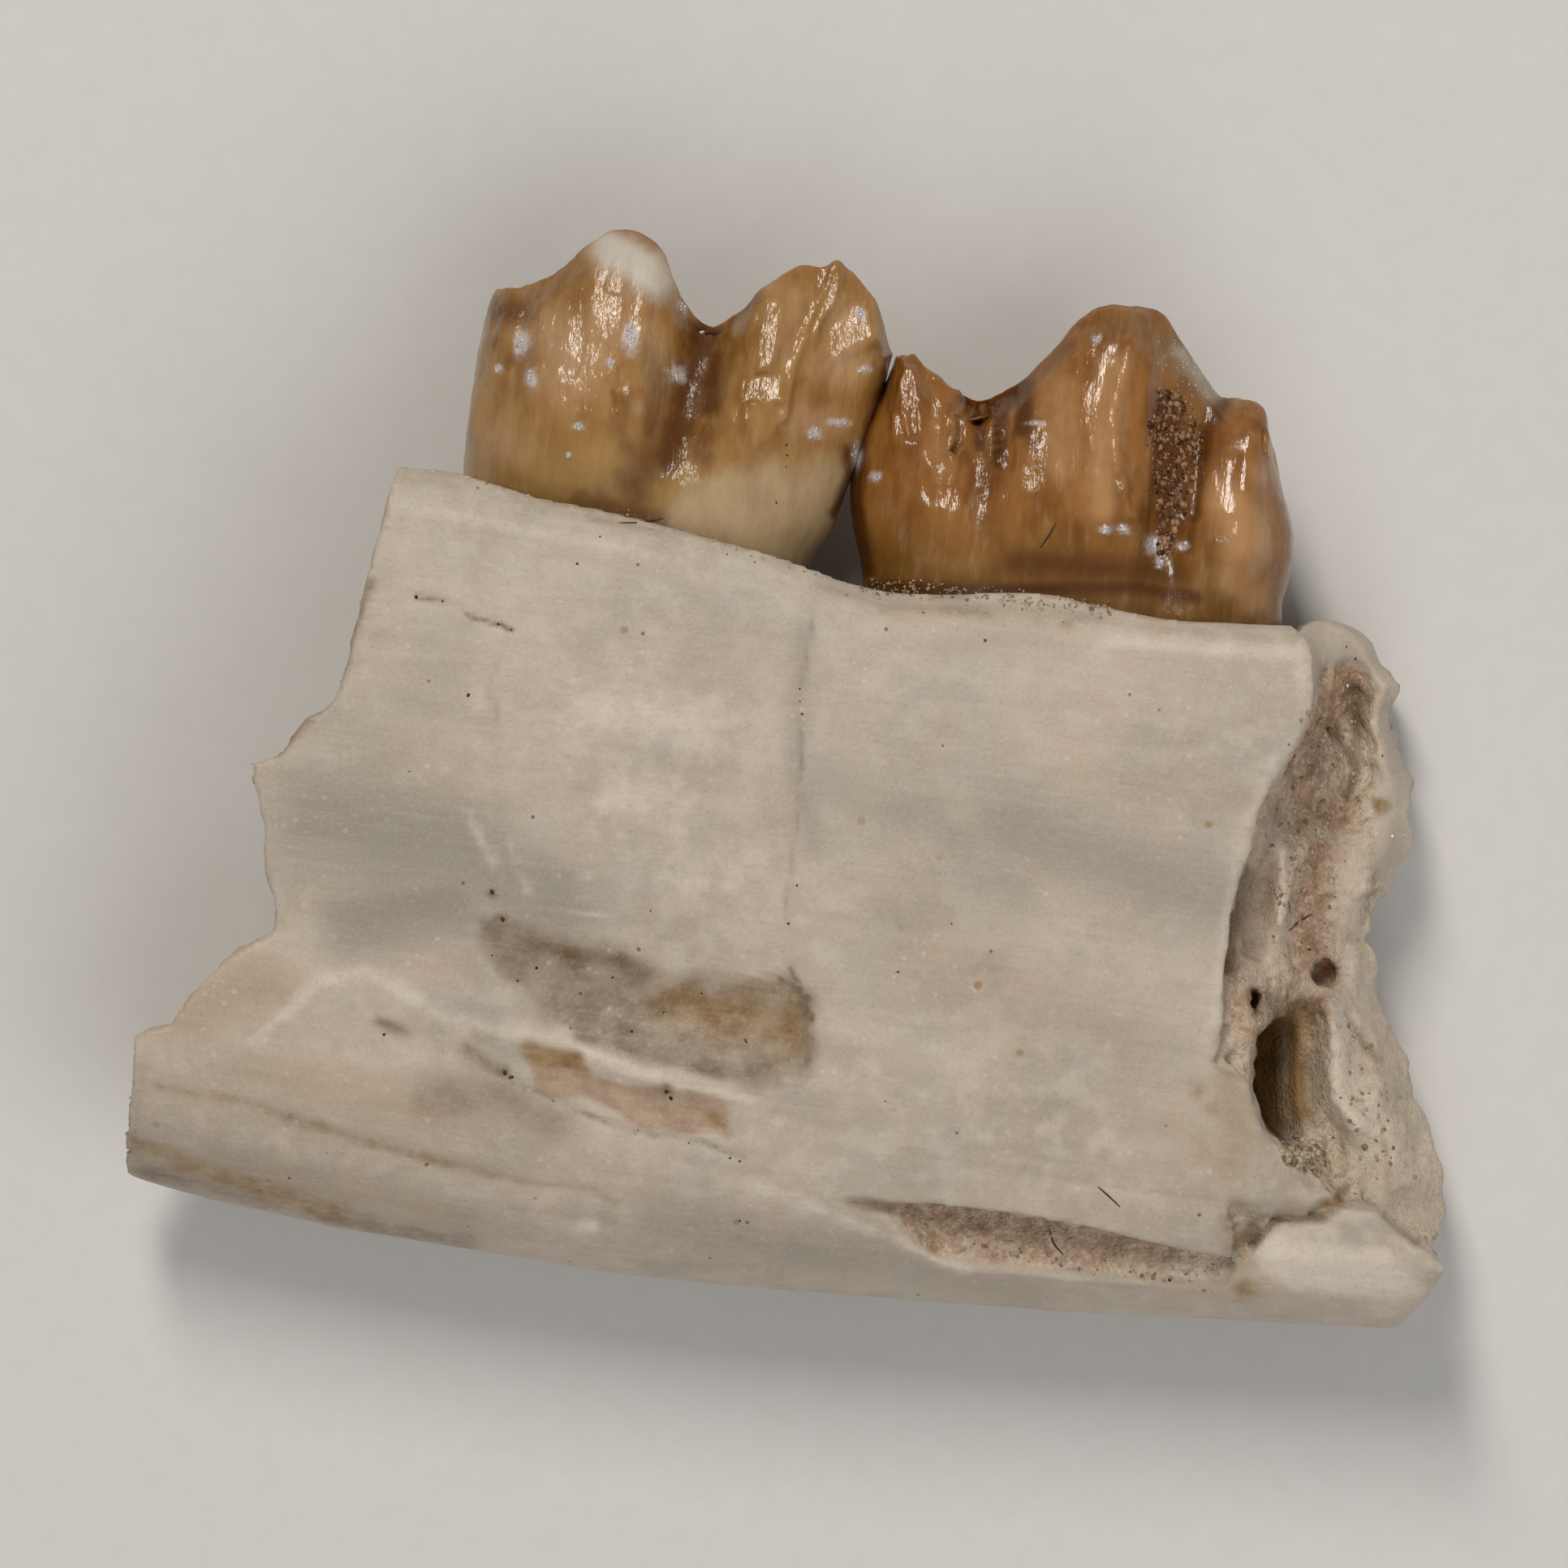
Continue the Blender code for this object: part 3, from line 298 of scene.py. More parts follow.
# Worn facets of the enamel that shine as one, each as an outline, its slopes along X and Y, and a soft edge.
MOLAR_FACETS = [
    ([(-0.1, 7.58), (0.0, 7.5), (-0.1, 6.96), (-0.2, 6.58), (-0.42, 6.56), (-0.32, 6.96), (-0.27, 7.3)], 0.08,
     -0.3, 0.08),
    ([(-0.6, 6.36), (-0.43, 6.5), (0.0, 6.48), (0.02, 6.0), (-0.64, 6.04)], 0.08, -0.25, 0.1),
    ([(0.05, 7.1), (0.15, 7.05), (0.03, 6.66), (-0.06, 6.4), (-0.1, 6.45), (-0.04, 6.75)], 0.08, -0.27, 0.06),
    ([(0.81, 8.15), (0.96, 8.14), (0.85, 7.69), (0.68, 7.39), (0.45, 7.05), (0.36, 7.09), (0.55, 7.52),
      (0.68, 7.86)], 0.08, -0.36, 0.08),
    ([(0.68, 7.3), (1.11, 7.7), (1.37, 7.56), (1.52, 7.18), (1.5, 7.0), (1.11, 6.85), (0.68, 6.66),
      (0.55, 6.88)], 0.07, -0.33, 0.26),
    ([(-2.94, 7.82), (-2.84, 7.8), (-2.97, 7.35), (-3.07, 7.38)], 0.08, -0.3, 0.07),
    ([(-2.72, 7.75), (-2.6, 7.72), (-2.68, 7.3), (-2.76, 6.98), (-2.86, 7.0), (-2.8, 7.4)], 0.08, -0.3, 0.07),
]
PREMOLAR_FACETS = [
    ([(1.92, 6.64), (2.07, 6.62), (2.13, 6.32), (2.13, 5.93), (2.12, 5.55), (2.03, 5.44), (1.95, 5.72),
      (1.88, 5.89), (1.84, 6.19), (1.81, 6.4)], 0.08, -0.3, 0.08),
    ([(1.7, 5.89), (1.92, 5.85), (1.94, 5.5), (1.72, 5.5)], 0.1, -0.24, 0.08),
    ([(2.37, 6.17), (2.5, 6.12), (2.5, 5.76), (2.38, 5.76)], 0.11, -0.3, 0.08),
    ([(2.73, 5.85), (2.87, 5.85), (2.84, 5.4), (2.7, 5.2), (2.62, 5.28), (2.74, 5.5)], 0.08, -0.27, 0.06),
    ([(3.0, 5.72), (3.12, 6.0), (3.22, 6.03), (3.2, 5.92), (3.1, 5.7)], 0.08, -0.28, 0.05),
    ([(3.24, 6.0), (3.34, 5.98), (3.38, 5.6), (3.36, 5.2), (3.28, 5.12), (3.22, 5.2), (3.26, 5.6)], 0.08,
     -0.27, 0.05),
    ([(4.56, 7.1), (4.69, 7.13), (4.69, 6.85), (4.57, 6.8)], 0.08, -0.36, 0.06),
    ([(4.91, 7.2), (5.05, 7.18), (5.03, 6.88), (4.87, 6.87)], 0.08, -0.36, 0.06),
    ([(5.31, 6.5), (5.43, 6.45), (5.39, 6.2), (5.26, 6.2)], 0.08, -0.28, 0.05),
    ([(5.34, 6.12), (5.41, 6.05), (5.35, 5.85), (5.22, 5.72), (5.18, 5.78), (5.28, 5.95)], 0.08, -0.27, 0.05),
    ([(5.19, 5.5), (5.29, 5.5), (5.28, 5.05), (5.19, 5.05)], 0.08, -0.25, 0.06),
    ([(5.24, 4.85), (5.4, 4.88), (5.47, 4.62), (5.26, 4.58)], 0.08, -0.24, 0.07),
    ([(6.12, 4.4), (6.22, 4.38), (6.37, 4.9), (6.28, 4.96), (6.17, 4.7)], 0.1, -0.22, 0.07),
    ([(7.27, 5.5), (7.38, 5.58), (7.45, 5.5), (7.37, 5.2), (7.33, 4.9), (7.28, 4.62), (7.14, 4.62),
      (7.15, 4.9), (7.24, 5.2)], 0.08, -0.27, 0.07),
    ([(7.09, 4.2), (7.23, 4.2), (7.21, 3.92), (7.09, 3.88)], 0.08, -0.22, 0.08),
    ([(7.56, 5.62), (7.68, 5.6), (7.68, 5.22), (7.58, 5.2)], 0.08, -0.3, 0.07),
]

# Where the enamel is finely crinkled, as strokes of half width and strength.
MOLAR_CRINKLES = [
    ([(-1.3, 6.9), (-1.5, 5.9), (-1.7, 4.8)], 0.3, 0.9), ([(-4.0, 7.2), (-3.0, 7.6), (-3.3, 6.2)], 0.75, 1.0),
    ([(-0.3, 7.6), (-0.5, 6.1)], 0.35, 1.0), ([(0.8, 7.9), (1.0, 6.7)], 0.45, 1.0),
    ([(-0.8, 5.8), (0.0, 5.8)], 0.25, 0.6), ([(-2.2, 7.4), (-2.0, 6.2)], 0.4, 0.7),
]
PREMOLAR_CRINKLES = [
    ([(1.9, 6.6), (2.0, 5.4)], 0.35, 0.9), ([(2.7, 6.1), (2.7, 4.8)], 0.4, 1.0),
    ([(3.3, 5.8), (3.3, 4.6)], 0.35, 0.9), ([(4.8, 7.2), (4.6, 6.0)], 0.5, 0.5),
    ([(5.3, 6.6), (5.3, 4.4)], 0.25, 0.8), ([(6.2, 6.9), (6.8, 6.2)], 0.4, 0.8),
    ([(4.2, 5.6), (3.8, 4.8)], 0.4, 0.5),
]


# Reading the measured lines.
def line(points):
    """Reads a measured line, straight between its points."""
    places, values = zip(*sorted(points))
    return lambda at: np.interp(at, places, values)


def rounded(points):
    """Reads a measured line, rounded through its points."""
    places, values = (np.array(column, float) for column in zip(*sorted(points)))
    slopes = np.gradient(values, places)

    def read(at):
        at = np.clip(at, places[0], places[-1])
        i = np.clip(np.searchsorted(places, at) - 1, 0, len(places) - 2)
        width = places[i + 1] - places[i]
        t = (at - places[i]) / width
        start = (1 + 2 * t) * (1 - t) ** 2 * values[i] + t * (1 - t) ** 2 * width * slopes[i]
        end = t * t * (3 - 2 * t) * values[i + 1] + t * t * (t - 1) * width * slopes[i + 1]
        return start + end

    return read


def smooth_step(low, high, value):
    t = np.clip((value - low) / (high - low), 0, 1)
    return t * t * (3 - 2 * t)


def distance_to(points, x, y):
    """How far each place (x, y) is from a drawn line, or from a dot where the line has one point."""
    if len(points) == 1:
        return np.hypot(x - points[0][0], y - points[0][1])
    nearest = np.full(x.shape, np.inf)
    for (ax, ay), (bx, by) in zip(points, points[1:]):
        length = (bx - ax) ** 2 + (by - ay) ** 2
        t = np.clip(((x - ax) * (bx - ax) + (y - ay) * (by - ay)) / length, 0, 1)
        nearest = np.minimum(nearest, np.hypot(x - ax - t * (bx - ax), y - ay - t * (by - ay)))
    return nearest


def inside_of(outline, x, y, soft):
    """1 inside a closed outline and 0 outside it, fading over a soft width."""
    closed = outline + outline[:1]
    inside = np.zeros(x.shape, bool)
    for (ax, ay), (bx, by) in zip(closed, closed[1:]):
        crossed = (ay > y) != (by > y)
        inside ^= crossed & (x < ax + (bx - ax) * (y - ay) / (by - ay if by != ay else 1))
    distance = distance_to(closed, x, y)
    return smooth_step(-soft / 2, soft / 2, np.where(inside, distance, -distance))


def relief(strokes, x, y):
    """The height that drawn ridges and grooves add at each place."""
    total = np.zeros(x.shape)
    for points, half_width, height in strokes:
        total += height * np.exp(-((distance_to(points, x, y) / half_width) ** 2))
    return total


def grain(places, size, seed):
    """Soft random lumps of this size, or of three sizes along X, Y and Z, from -1 to 1."""
    lattice = np.random.default_rng(seed).uniform(-1, 1, (64, 64, 64))
    at = places / np.asarray(size, float) + 31.7
    low = np.floor(at).astype(int)
    t = at - low
    t = t * t * t * (t * (6 * t - 15) + 10)
    total = np.zeros(len(places))
    for corner in range(8):
        step = np.array([corner & 1, corner >> 1 & 1, corner >> 2 & 1])
        weight = np.prod(np.where(step, t, 1 - t), axis=1)
        cell = (low + step) % 64
        total += weight * lattice[cell[:, 0], cell[:, 1], cell[:, 2]]
    return total


def rough(places, size, seed, octaves=3):
    """Layered lumps: each layer is half the size and half the height of the one before."""
    return sum(grain(places, np.asarray(size) / 2**k, seed + k) / 2**k for k in range(octaves))


# Working on a piece.
def alone(piece):
    """Leaves only this piece selected and active."""
    bpy.ops.object.select_all(action="DESELECT")
    piece.select_set(True)
    bpy.context.view_layer.objects.active = piece


def named(name):
    """Names the primitive that was just added."""
    piece = bpy.context.object
    piece.name = piece.data.name = name
    return piece


def places_of(piece):
    found = np.empty(len(piece.data.vertices) * 3, np.float32)
    piece.data.vertices.foreach_get("co", found)
    return found.reshape(-1, 3).astype(float)


def normals_of(piece):
    found = np.empty(len(piece.data.vertices) * 3, np.float32)
    piece.data.vertices.foreach_get("normal", found)
    return found.reshape(-1, 3).astype(float)


def move_to(piece, places):
    piece.data.vertices.foreach_set("co", places.astype(np.float32).ravel())
    piece.data.update()


def face_outwards(piece):
    alone(piece)
    bpy.ops.object.mode_set(mode="EDIT")
    bpy.ops.mesh.select_all(action="SELECT")
    bpy.ops.mesh.remove_doubles(threshold=0.0005)
    bpy.ops.mesh.normals_make_consistent(inside=False)
    bpy.ops.object.mode_set(mode="OBJECT")


def apply_modifier(piece, kind, **settings):
    alone(piece)
    modifier = piece.modifiers.new(kind.lower(), kind)
    for name, value in settings.items():
        setattr(modifier, name, value)
    bpy.ops.object.modifier_apply(modifier=modifier.name)


def boolean(piece, other, operation):
    """Cuts the other shape from the piece, or joins it on, and removes the other shape."""
    apply_modifier(piece, "BOOLEAN", operation=operation, solver="EXACT", object=other)
    bpy.data.objects.remove(other)


def drawn_sphere(name, segments, rings, place_ring):
    """A closed form from a sphere: place_ring gives each ring's points, and the poles close its two ends."""
    bpy.ops.object.select_all(action="DESELECT")
    bpy.ops.mesh.primitive_uv_sphere_add(segments=segments, ring_count=rings + 1, radius=1.0)
    piece = named(name)
    start = places_of(piece)
    ring = np.rint(np.arccos(np.clip(start[:, 2], -1, 1)) / math.pi * (rings + 1)).astype(int) - 1
    turn = np.rint(np.arctan2(start[:, 1], start[:, 0]) / (2 * math.pi) * segments).astype(int) % segments
    table = np.array([place_ring(i) for i in range(rings)])
    placed = table[np.clip(ring, 0, rings - 1), turn]
    placed[ring < 0] = table[0].mean(axis=0)
    placed[ring >= rings] = table[-1].mean(axis=0)
    move_to(piece, placed)
    face_outwards(piece)
    return piece


def drawn_block(name, columns, rows, near_sheet, far_sheet):
    """A closed block from an extruded grid: each sheet is a function of the shares across and along."""
    bpy.ops.object.select_all(action="DESELECT")
    bpy.ops.mesh.primitive_grid_add(x_subdivisions=columns, y_subdivisions=rows, size=1.0)
    piece = named(name)
    bpy.ops.object.mode_set(mode="EDIT")
    bpy.ops.mesh.select_all(action="SELECT")
    bpy.ops.mesh.extrude_region_move(TRANSFORM_OT_translate={"value": (0, 0, 1)})
    bpy.ops.object.mode_set(mode="OBJECT")
    start = places_of(piece)
    across, along, far = start[:, 0] + 0.5, start[:, 1] + 0.5, start[:, 2] > 0.5
    move_to(piece, np.where(far[:, None], far_sheet(across, along), near_sheet(across, along)))
    face_outwards(piece)
    return piece


def bore(name, rings, lying=False):
    """A rounded bore through rings that stand across X, or lie across Z."""
    turns = np.arange(BORE_POINTS) * 2 * math.pi / BORE_POINTS
    steps = np.linspace(0, len(rings) - 1, (len(rings) - 1) * BORE_STEPS + 1)
    read = [rounded(list(enumerate(column))) for column in zip(*rings)]

    def place_ring(i):
        x, y, z, first, second = (float(track(steps[i])) for track in read)
        if lying:
            return np.stack([x + first * np.cos(turns), y + second * np.sin(turns), np.full(BORE_POINTS, z)],
                            axis=1)
        return np.stack([np.full(BORE_POINTS, x), y + first * np.cos(turns), z + second * np.sin(turns)],
                        axis=1)

    return drawn_sphere(name, BORE_POINTS, len(steps), place_ring)


def neighbours(piece):
    edges = np.empty(len(piece.data.edges) * 2, np.int32)
    piece.data.edges.foreach_get("vertices", edges)
    return edges.reshape(-1, 2)


def evened(values, edges, rounds):
    """Spreads values along the mesh's edges, as a soft brush would."""
    count = np.bincount(edges.ravel(), minlength=len(values))
    for _ in range(rounds):
        if values.ndim == 1:
            total = np.bincount(edges[:, 0], values[edges[:, 1]], len(values))
            total += np.bincount(edges[:, 1], values[edges[:, 0]], len(values))
            values = 0.5 * values + 0.5 * total / np.maximum(count, 1)
        else:
            values = np.stack([evened(column, edges, 1) for column in values.T], axis=1)
    return values


def hollowness(piece, rounds):
    """How far each point lies below its surroundings, in millimetres: above 0 in pits, below 0 on ridges."""
    places = places_of(piece)
    return np.sum((evened(places, neighbours(piece), rounds) - places) * normals_of(piece), axis=1)


def paint(piece, name, mask):
    """Stores a mask, from 0 to 1, for the materials to read."""
    layer = piece.data.attributes.new(name, "FLOAT", "POINT")
    layer.data.foreach_set("value", np.clip(mask, 0, 1).astype(np.float32))


def brushed(strokes, x, y):
    """A mask from soft brush strokes, each as points, half width and strength. The strongest stroke wins."""
    mask = np.zeros(x.shape)
    for points, half_width, strength in strokes:
        mask = np.maximum(mask, strength * np.exp(-((distance_to(points, x, y) / half_width) ** 2)))
    return mask


# The bone's shape.
upper_edge, lower_edge = rounded(UPPER_EDGE), rounded(LOWER_EDGE)
rear_edge, tongue_edge, cheek_edge = line(REAR_BREAK), line(TONGUE_EDGE), line(CHEEK_EDGE)


def section_shares():
    """The section's outline in equal steps: how far up the bone each point is, and its height in Z."""
    places = np.arange(len(SECTION) + 1)
    at = np.linspace(0, len(SECTION), SECTION_POINTS, endpoint=False)
    return [rounded(list(zip(places, column)))(at) for column in zip(*SECTION, SECTION[0])]


def skin_height(x, y):
    """Height of the unbroken tongue side above this place."""
    low, high = lower_edge(x), upper_edge(x)
    return line(SECTION[:12])((y - low) / (high - low))


def squared(share, x):
    """Squares the section's upper end near the front break, where both walls stand equally high."""
    return share + (1 - share) * smooth_step(0.9, 0.94, share) * smooth_step(7.9, 8.3, x)


def whole_bone():
    share, depth = section_shares()

    def place_ring(i):
        x = BONE_STATIONS[i]
        low, high = lower_edge(x), upper_edge(x)
        return np.stack([np.full(SECTION_POINTS, x), low + squared(share, x) * (high - low), depth], axis=1)

    return drawn_sphere("weathered_jaw_bone", SECTION_POINTS, len(BONE_STATIONS), place_ring)


def rear_break():
    """What is missing behind the rear break, whose tongue side reaches back furthest over a sunk core."""

    def surface(across, along):
        y, z = BLOCK_FOOT_Y + REAR_BLOCK_LENGTH * along, BLOCK_FOOT_Z + 8.5 * across
        below = skin_height(rear_edge(y) + 0.3, y) - z
        core = smooth_step(0.12, 0.45, below) * smooth_step(0.5, 0.9, z) * smooth_step(-6.3, -5.4, y)
        tooth_socket = np.exp(-(((z - 2.6) / 0.95) ** 2)) * smooth_step(-1.5, 0.0, y)
        lean = 0.35 + 0.75 * smooth_step(-5.9, -4.0, y)
        x = rear_edge(y) + lean * smooth_step(0.05, 4.3, below) + 0.45 * core + 0.8 * tooth_socket
        flat = np.stack([x * 0, y, z], axis=1)
        jagged = 0.16 * rough(flat, 0.7, 11) + 0.05 * rough(flat, 0.25, 15)
        x = x + jagged * smooth_step(0.05, 0.6, below) * (0.6 + core)
        return np.stack([x, y, z], axis=1)

    def outside(across, along):
        return np.stack([across * 0 - 14, BLOCK_FOOT_Y + REAR_BLOCK_LENGTH * along,
                         BLOCK_FOOT_Z + 8.5 * across], axis=1)

    return drawn_block("rear_break", 70, 200, surface, outside)


def front_break_height(x, y):
    """Height of the front break's surface."""
    near, far = tongue_edge(y), cheek_edge(y)
    share = np.clip((x - near) / (far - near), 0, 1.3)
    columns = len(FRONT_BREAK[0][1])
    heights = np.stack([line([(row, depths[i]) for row, depths in FRONT_BREAK])(y) for i in range(columns)])
    at = np.clip(share, 0, 1) * (columns - 1)
    low = np.minimum(at.astype(int), columns - 2)
    t = smooth_step(0, 1, at - low) * 0.5 + (at - low) * 0.5
    rows = np.arange(len(y))
    z = heights[low, rows] * (1 - t) + heights[low + 1, rows] * t
    return z, share


def plates(x, y):
    """Where the front break shows dense, smooth bone."""
    return np.max([inside_of(plate, x, y, 0.16) for plate in SMOOTH_PLATES], axis=0)


def calm(x, y):
    """Where the front break's sponge is close and worn."""
    return np.max([inside_of(wall, x, y, 0.4) for wall in CALM_WALLS], axis=0)


def front_break():
    """What is missing above the front break's sloping, spongy surface."""

    def surface(across, along):
        y = BLOCK_FOOT_Y + FRONT_BLOCK_LENGTH * along
        near, far = tongue_edge(y), cheek_edge(y)
        x = near + FRONT_BLOCK_REACH * across * (far - near)
        z, share = front_break_height(x, y)
        flat = np.stack([x, y, x * 0], axis=1)
        sponge = 1 - 0.9 * plates(x, y)
        away = smooth_step(0.0, 0.12, share)
        z = z + (relief(BREAK_RELIEF, x, y) + 0.16 * rough(flat, 0.8, 21) * sponge) * away
        z = z + 0.07 * np.abs(rough(flat, 0.3, 27)) * sponge * away
        skin = skin_height(x, y)
        crust = inside_of(SMOOTH_PLATES[0], x, y, 0.22) * smooth_step(8.2, 7.2, x)
        z = z * (1 - crust) + (skin - 0.12 * smooth_step(6.6, 7.4, x)) * crust
        roll = inside_of(SMOOTH_PLATES[1], x, y, 0.14)
        z = z * (1 - roll) + (skin - 0.45 * smooth_step(-8.1, -6.7, y)) * roll
        mouth = inside_of(CANAL_MOUTH, x, y, 0.14)
        z = z * (1 - mouth) + np.minimum(z, line(CANAL_FLOOR)(x)) * mouth
        return np.stack([x, y, z], axis=1)

    def outside(across, along):
        y = BLOCK_FOOT_Y + FRONT_BLOCK_LENGTH * along
        near, far = tongue_edge(y), cheek_edge(y)
        return np.stack([near + FRONT_BLOCK_REACH * across * (far - near), y, y * 0 + 8], axis=1)

    return drawn_block("front_break", 76, 230, surface, outside)


def cheek_side_break():
    """What is missing past the cheek side's broken edge."""

    def surface(across, along):
        y, z = BLOCK_FOOT_Y + FRONT_BLOCK_LENGTH * along, BLOCK_FOOT_Z + 10 * across
        flat = np.stack([y * 0, y, z], axis=1)
        ragged = 0.05 * rough(flat, 0.3, 31) * smooth_step(-7.4, -6.8, y)
        x = cheek_edge(y) - 0.15 * smooth_step(0.9, 0.0, z) + ragged
        return np.stack([x, y, z], axis=1)

    def outside(across, along):
        return np.stack([across * 0 + 14, BLOCK_FOOT_Y + FRONT_BLOCK_LENGTH * along,
                         BLOCK_FOOT_Z + 10 * across], axis=1)

    return drawn_block("cheek_side_break", 60, 230, surface, outside)


def lower_slot():
    """The hollow under the split outer layer, undercut below its upper lip."""
    upper, lower = line(SLOT_UPPER_LIP), line(SLOT_LOWER_LIP)

    def open_y(across, x):
        return upper(x) + across * (lower(x) - 0.2 - upper(x))

    def surface(across, along):
        x = SLOT_START + SLOT_LENGTH * along
        y = open_y(across, x) + SLOT_UNDERCUT * (1 - across) * smooth_step(SLOT_START, 2.5, x)
        fade_in = smooth_step(SLOT_START, 2.6, x)
        flat = np.stack([x, y, x * 0], axis=1)
        z = SLOT_RIM_HEIGHT + (SLOT_FLOOR - SLOT_RIM_HEIGHT) * fade_in + 0.45 * smooth_step(6.7, 7.6, x)
        z = z + 0.1 * across + 0.03 * rough(flat, 0.5, 41) * fade_in
        return np.stack([x, y, z], axis=1)

    def outside(across, along):
        x = SLOT_START + SLOT_LENGTH * along
        return np.stack([x, open_y(across, x), x * 0 + 7], axis=1)

    return drawn_block("lower_slot", 16, 110, surface, outside)


def distance_from_skin(places):
    """How deep each point lies inside the bone's unbroken outer surface."""
    share, depth = section_shares()
    x, y, z = places.T
    low, high = lower_edge(x), upper_edge(x)
    height = high - low
    nearest = np.full(len(x), np.inf)
    for i in range(SECTION_POINTS):
        j = (i + 1) % SECTION_POINTS
        ay, by = low + squared(share[i], x) * height, low + squared(share[j], x) * height
        az, bz = depth[i], depth[j]
        length = (by - ay) ** 2 + (bz - az) ** 2 + 1e-9
        t = np.clip(((y - ay) * (by - ay) + (z - az) * (bz - az)) / length, 0, 1)
        nearest = np.minimum(nearest, np.hypot(y - ay - t * (by - ay), z - az - t * (bz - az)))
    return nearest


def between(lower, upper, x, y, soft):
    """1 between two drawn lines, fading out over a soft width at each."""
    return smooth_step(0, soft, line(upper)(x) - y) * smooth_step(0, soft, y - line(lower)(x))


def carve_bone(bone):
    """Sculpts the outer skin's relief and the broken surfaces' grain."""
    places, normals = places_of(bone), normals_of(bone)
    x, y, z = places.T
    skin = smooth_step(0.2, 0.08, distance_from_skin(places))
    facing = smooth_step(0.1, 0.5, normals[:, 2]) * smooth_step(3.0, 4.0, z) * skin
    edge_room = smooth_step(0.0, 0.25, tongue_edge(y) - x)
    rise = relief(BONE_RELIEF, x, y)
    hollow = between(HOLLOW_LOWER_BANK, HOLLOW_UPPER_BANK, x, y, 0.75)
    rise -= HOLLOW_DEPTH * hollow * smooth_step(-5.6, -3.6, x) * smooth_step(0.6, 0.3, x)
    gash = between(GASH_LOWER_LIP, GASH_UPPER_LIP, x, y, 0.28)
    rise -= GASH_DEPTH * gash * smooth_step(-4.9, -4.3, x) * smooth_step(-0.55, -0.9, x)
    rise += 0.035 * grain(places, (3.2, 1.8, 3.0), 51) + 0.006 * rough(places, (1.2, 0.35, 0.8), 53)
    rise *= facing * edge_room
    broken = (1 - skin) * (1 - 0.9 * plates(x, y) * smooth_step(1.5, 2.5, z) * (x > 6))
    broken *= 1 - 0.6 * calm(x, y)
    broken *= 1 - 0.85 * inside_of(CANAL_MOUTH, x, y, 0.3)
    rise = rise + broken * (0.05 * rough(places, 0.4, 61) + 0.05 * rough(places, 0.18, 65, 2))
    quiet = skin * (1 - facing)
    rise = rise + quiet * (0.05 * grain(places, (3.0, 1.8, 2.0), 71)
                           + 0.02 * rough(places, (1.6, 0.4, 0.4), 73))
    rise = rise + smooth_step(0.35, 0.0, np.abs(tongue_edge(y) - x)) * 0.02 * rough(places, 0.3, 75)
    places = places + normals * rise[:, None]
    resting = (places[:, 2] < 0.07) & (normals[:, 2] < -0.3)
    places[:, 2] = np.where(resting, 0.0, np.maximum(places[:, 2], 0.0))
    move_to(bone, places)


def make_bone():
    bone = whole_bone()
    cutters = [rear_break(), front_break(), cheek_side_break(), lower_slot(),
               bore("front_canal", FRONT_CANAL), bore("rear_canal", REAR_CANAL),
               bore("round_hole", ROUND_HOLE, True), bore("small_hole", SMALL_HOLE, True),
               tooth_form("molar_socket", MOLAR, SOCKET_POINTS, SOCKET_RINGS, SOCKET_ROOM),
               tooth_form("premolar_socket", PREMOLAR, SOCKET_POINTS, SOCKET_RINGS, SOCKET_ROOM)]
    for cutter in cutters:
        boolean(bone, cutter, "DIFFERENCE")
    apply_modifier(bone, "REMESH", mode="VOXEL", voxel_size=BONE_VOXEL)
    carve_bone(bone)
    count = sum(len(face.vertices) - 2 for face in bone.data.polygons)
    if count > BONE_TRIANGLES:
        apply_modifier(bone, "DECIMATE", ratio=BONE_TRIANGLES / count)
    return bone


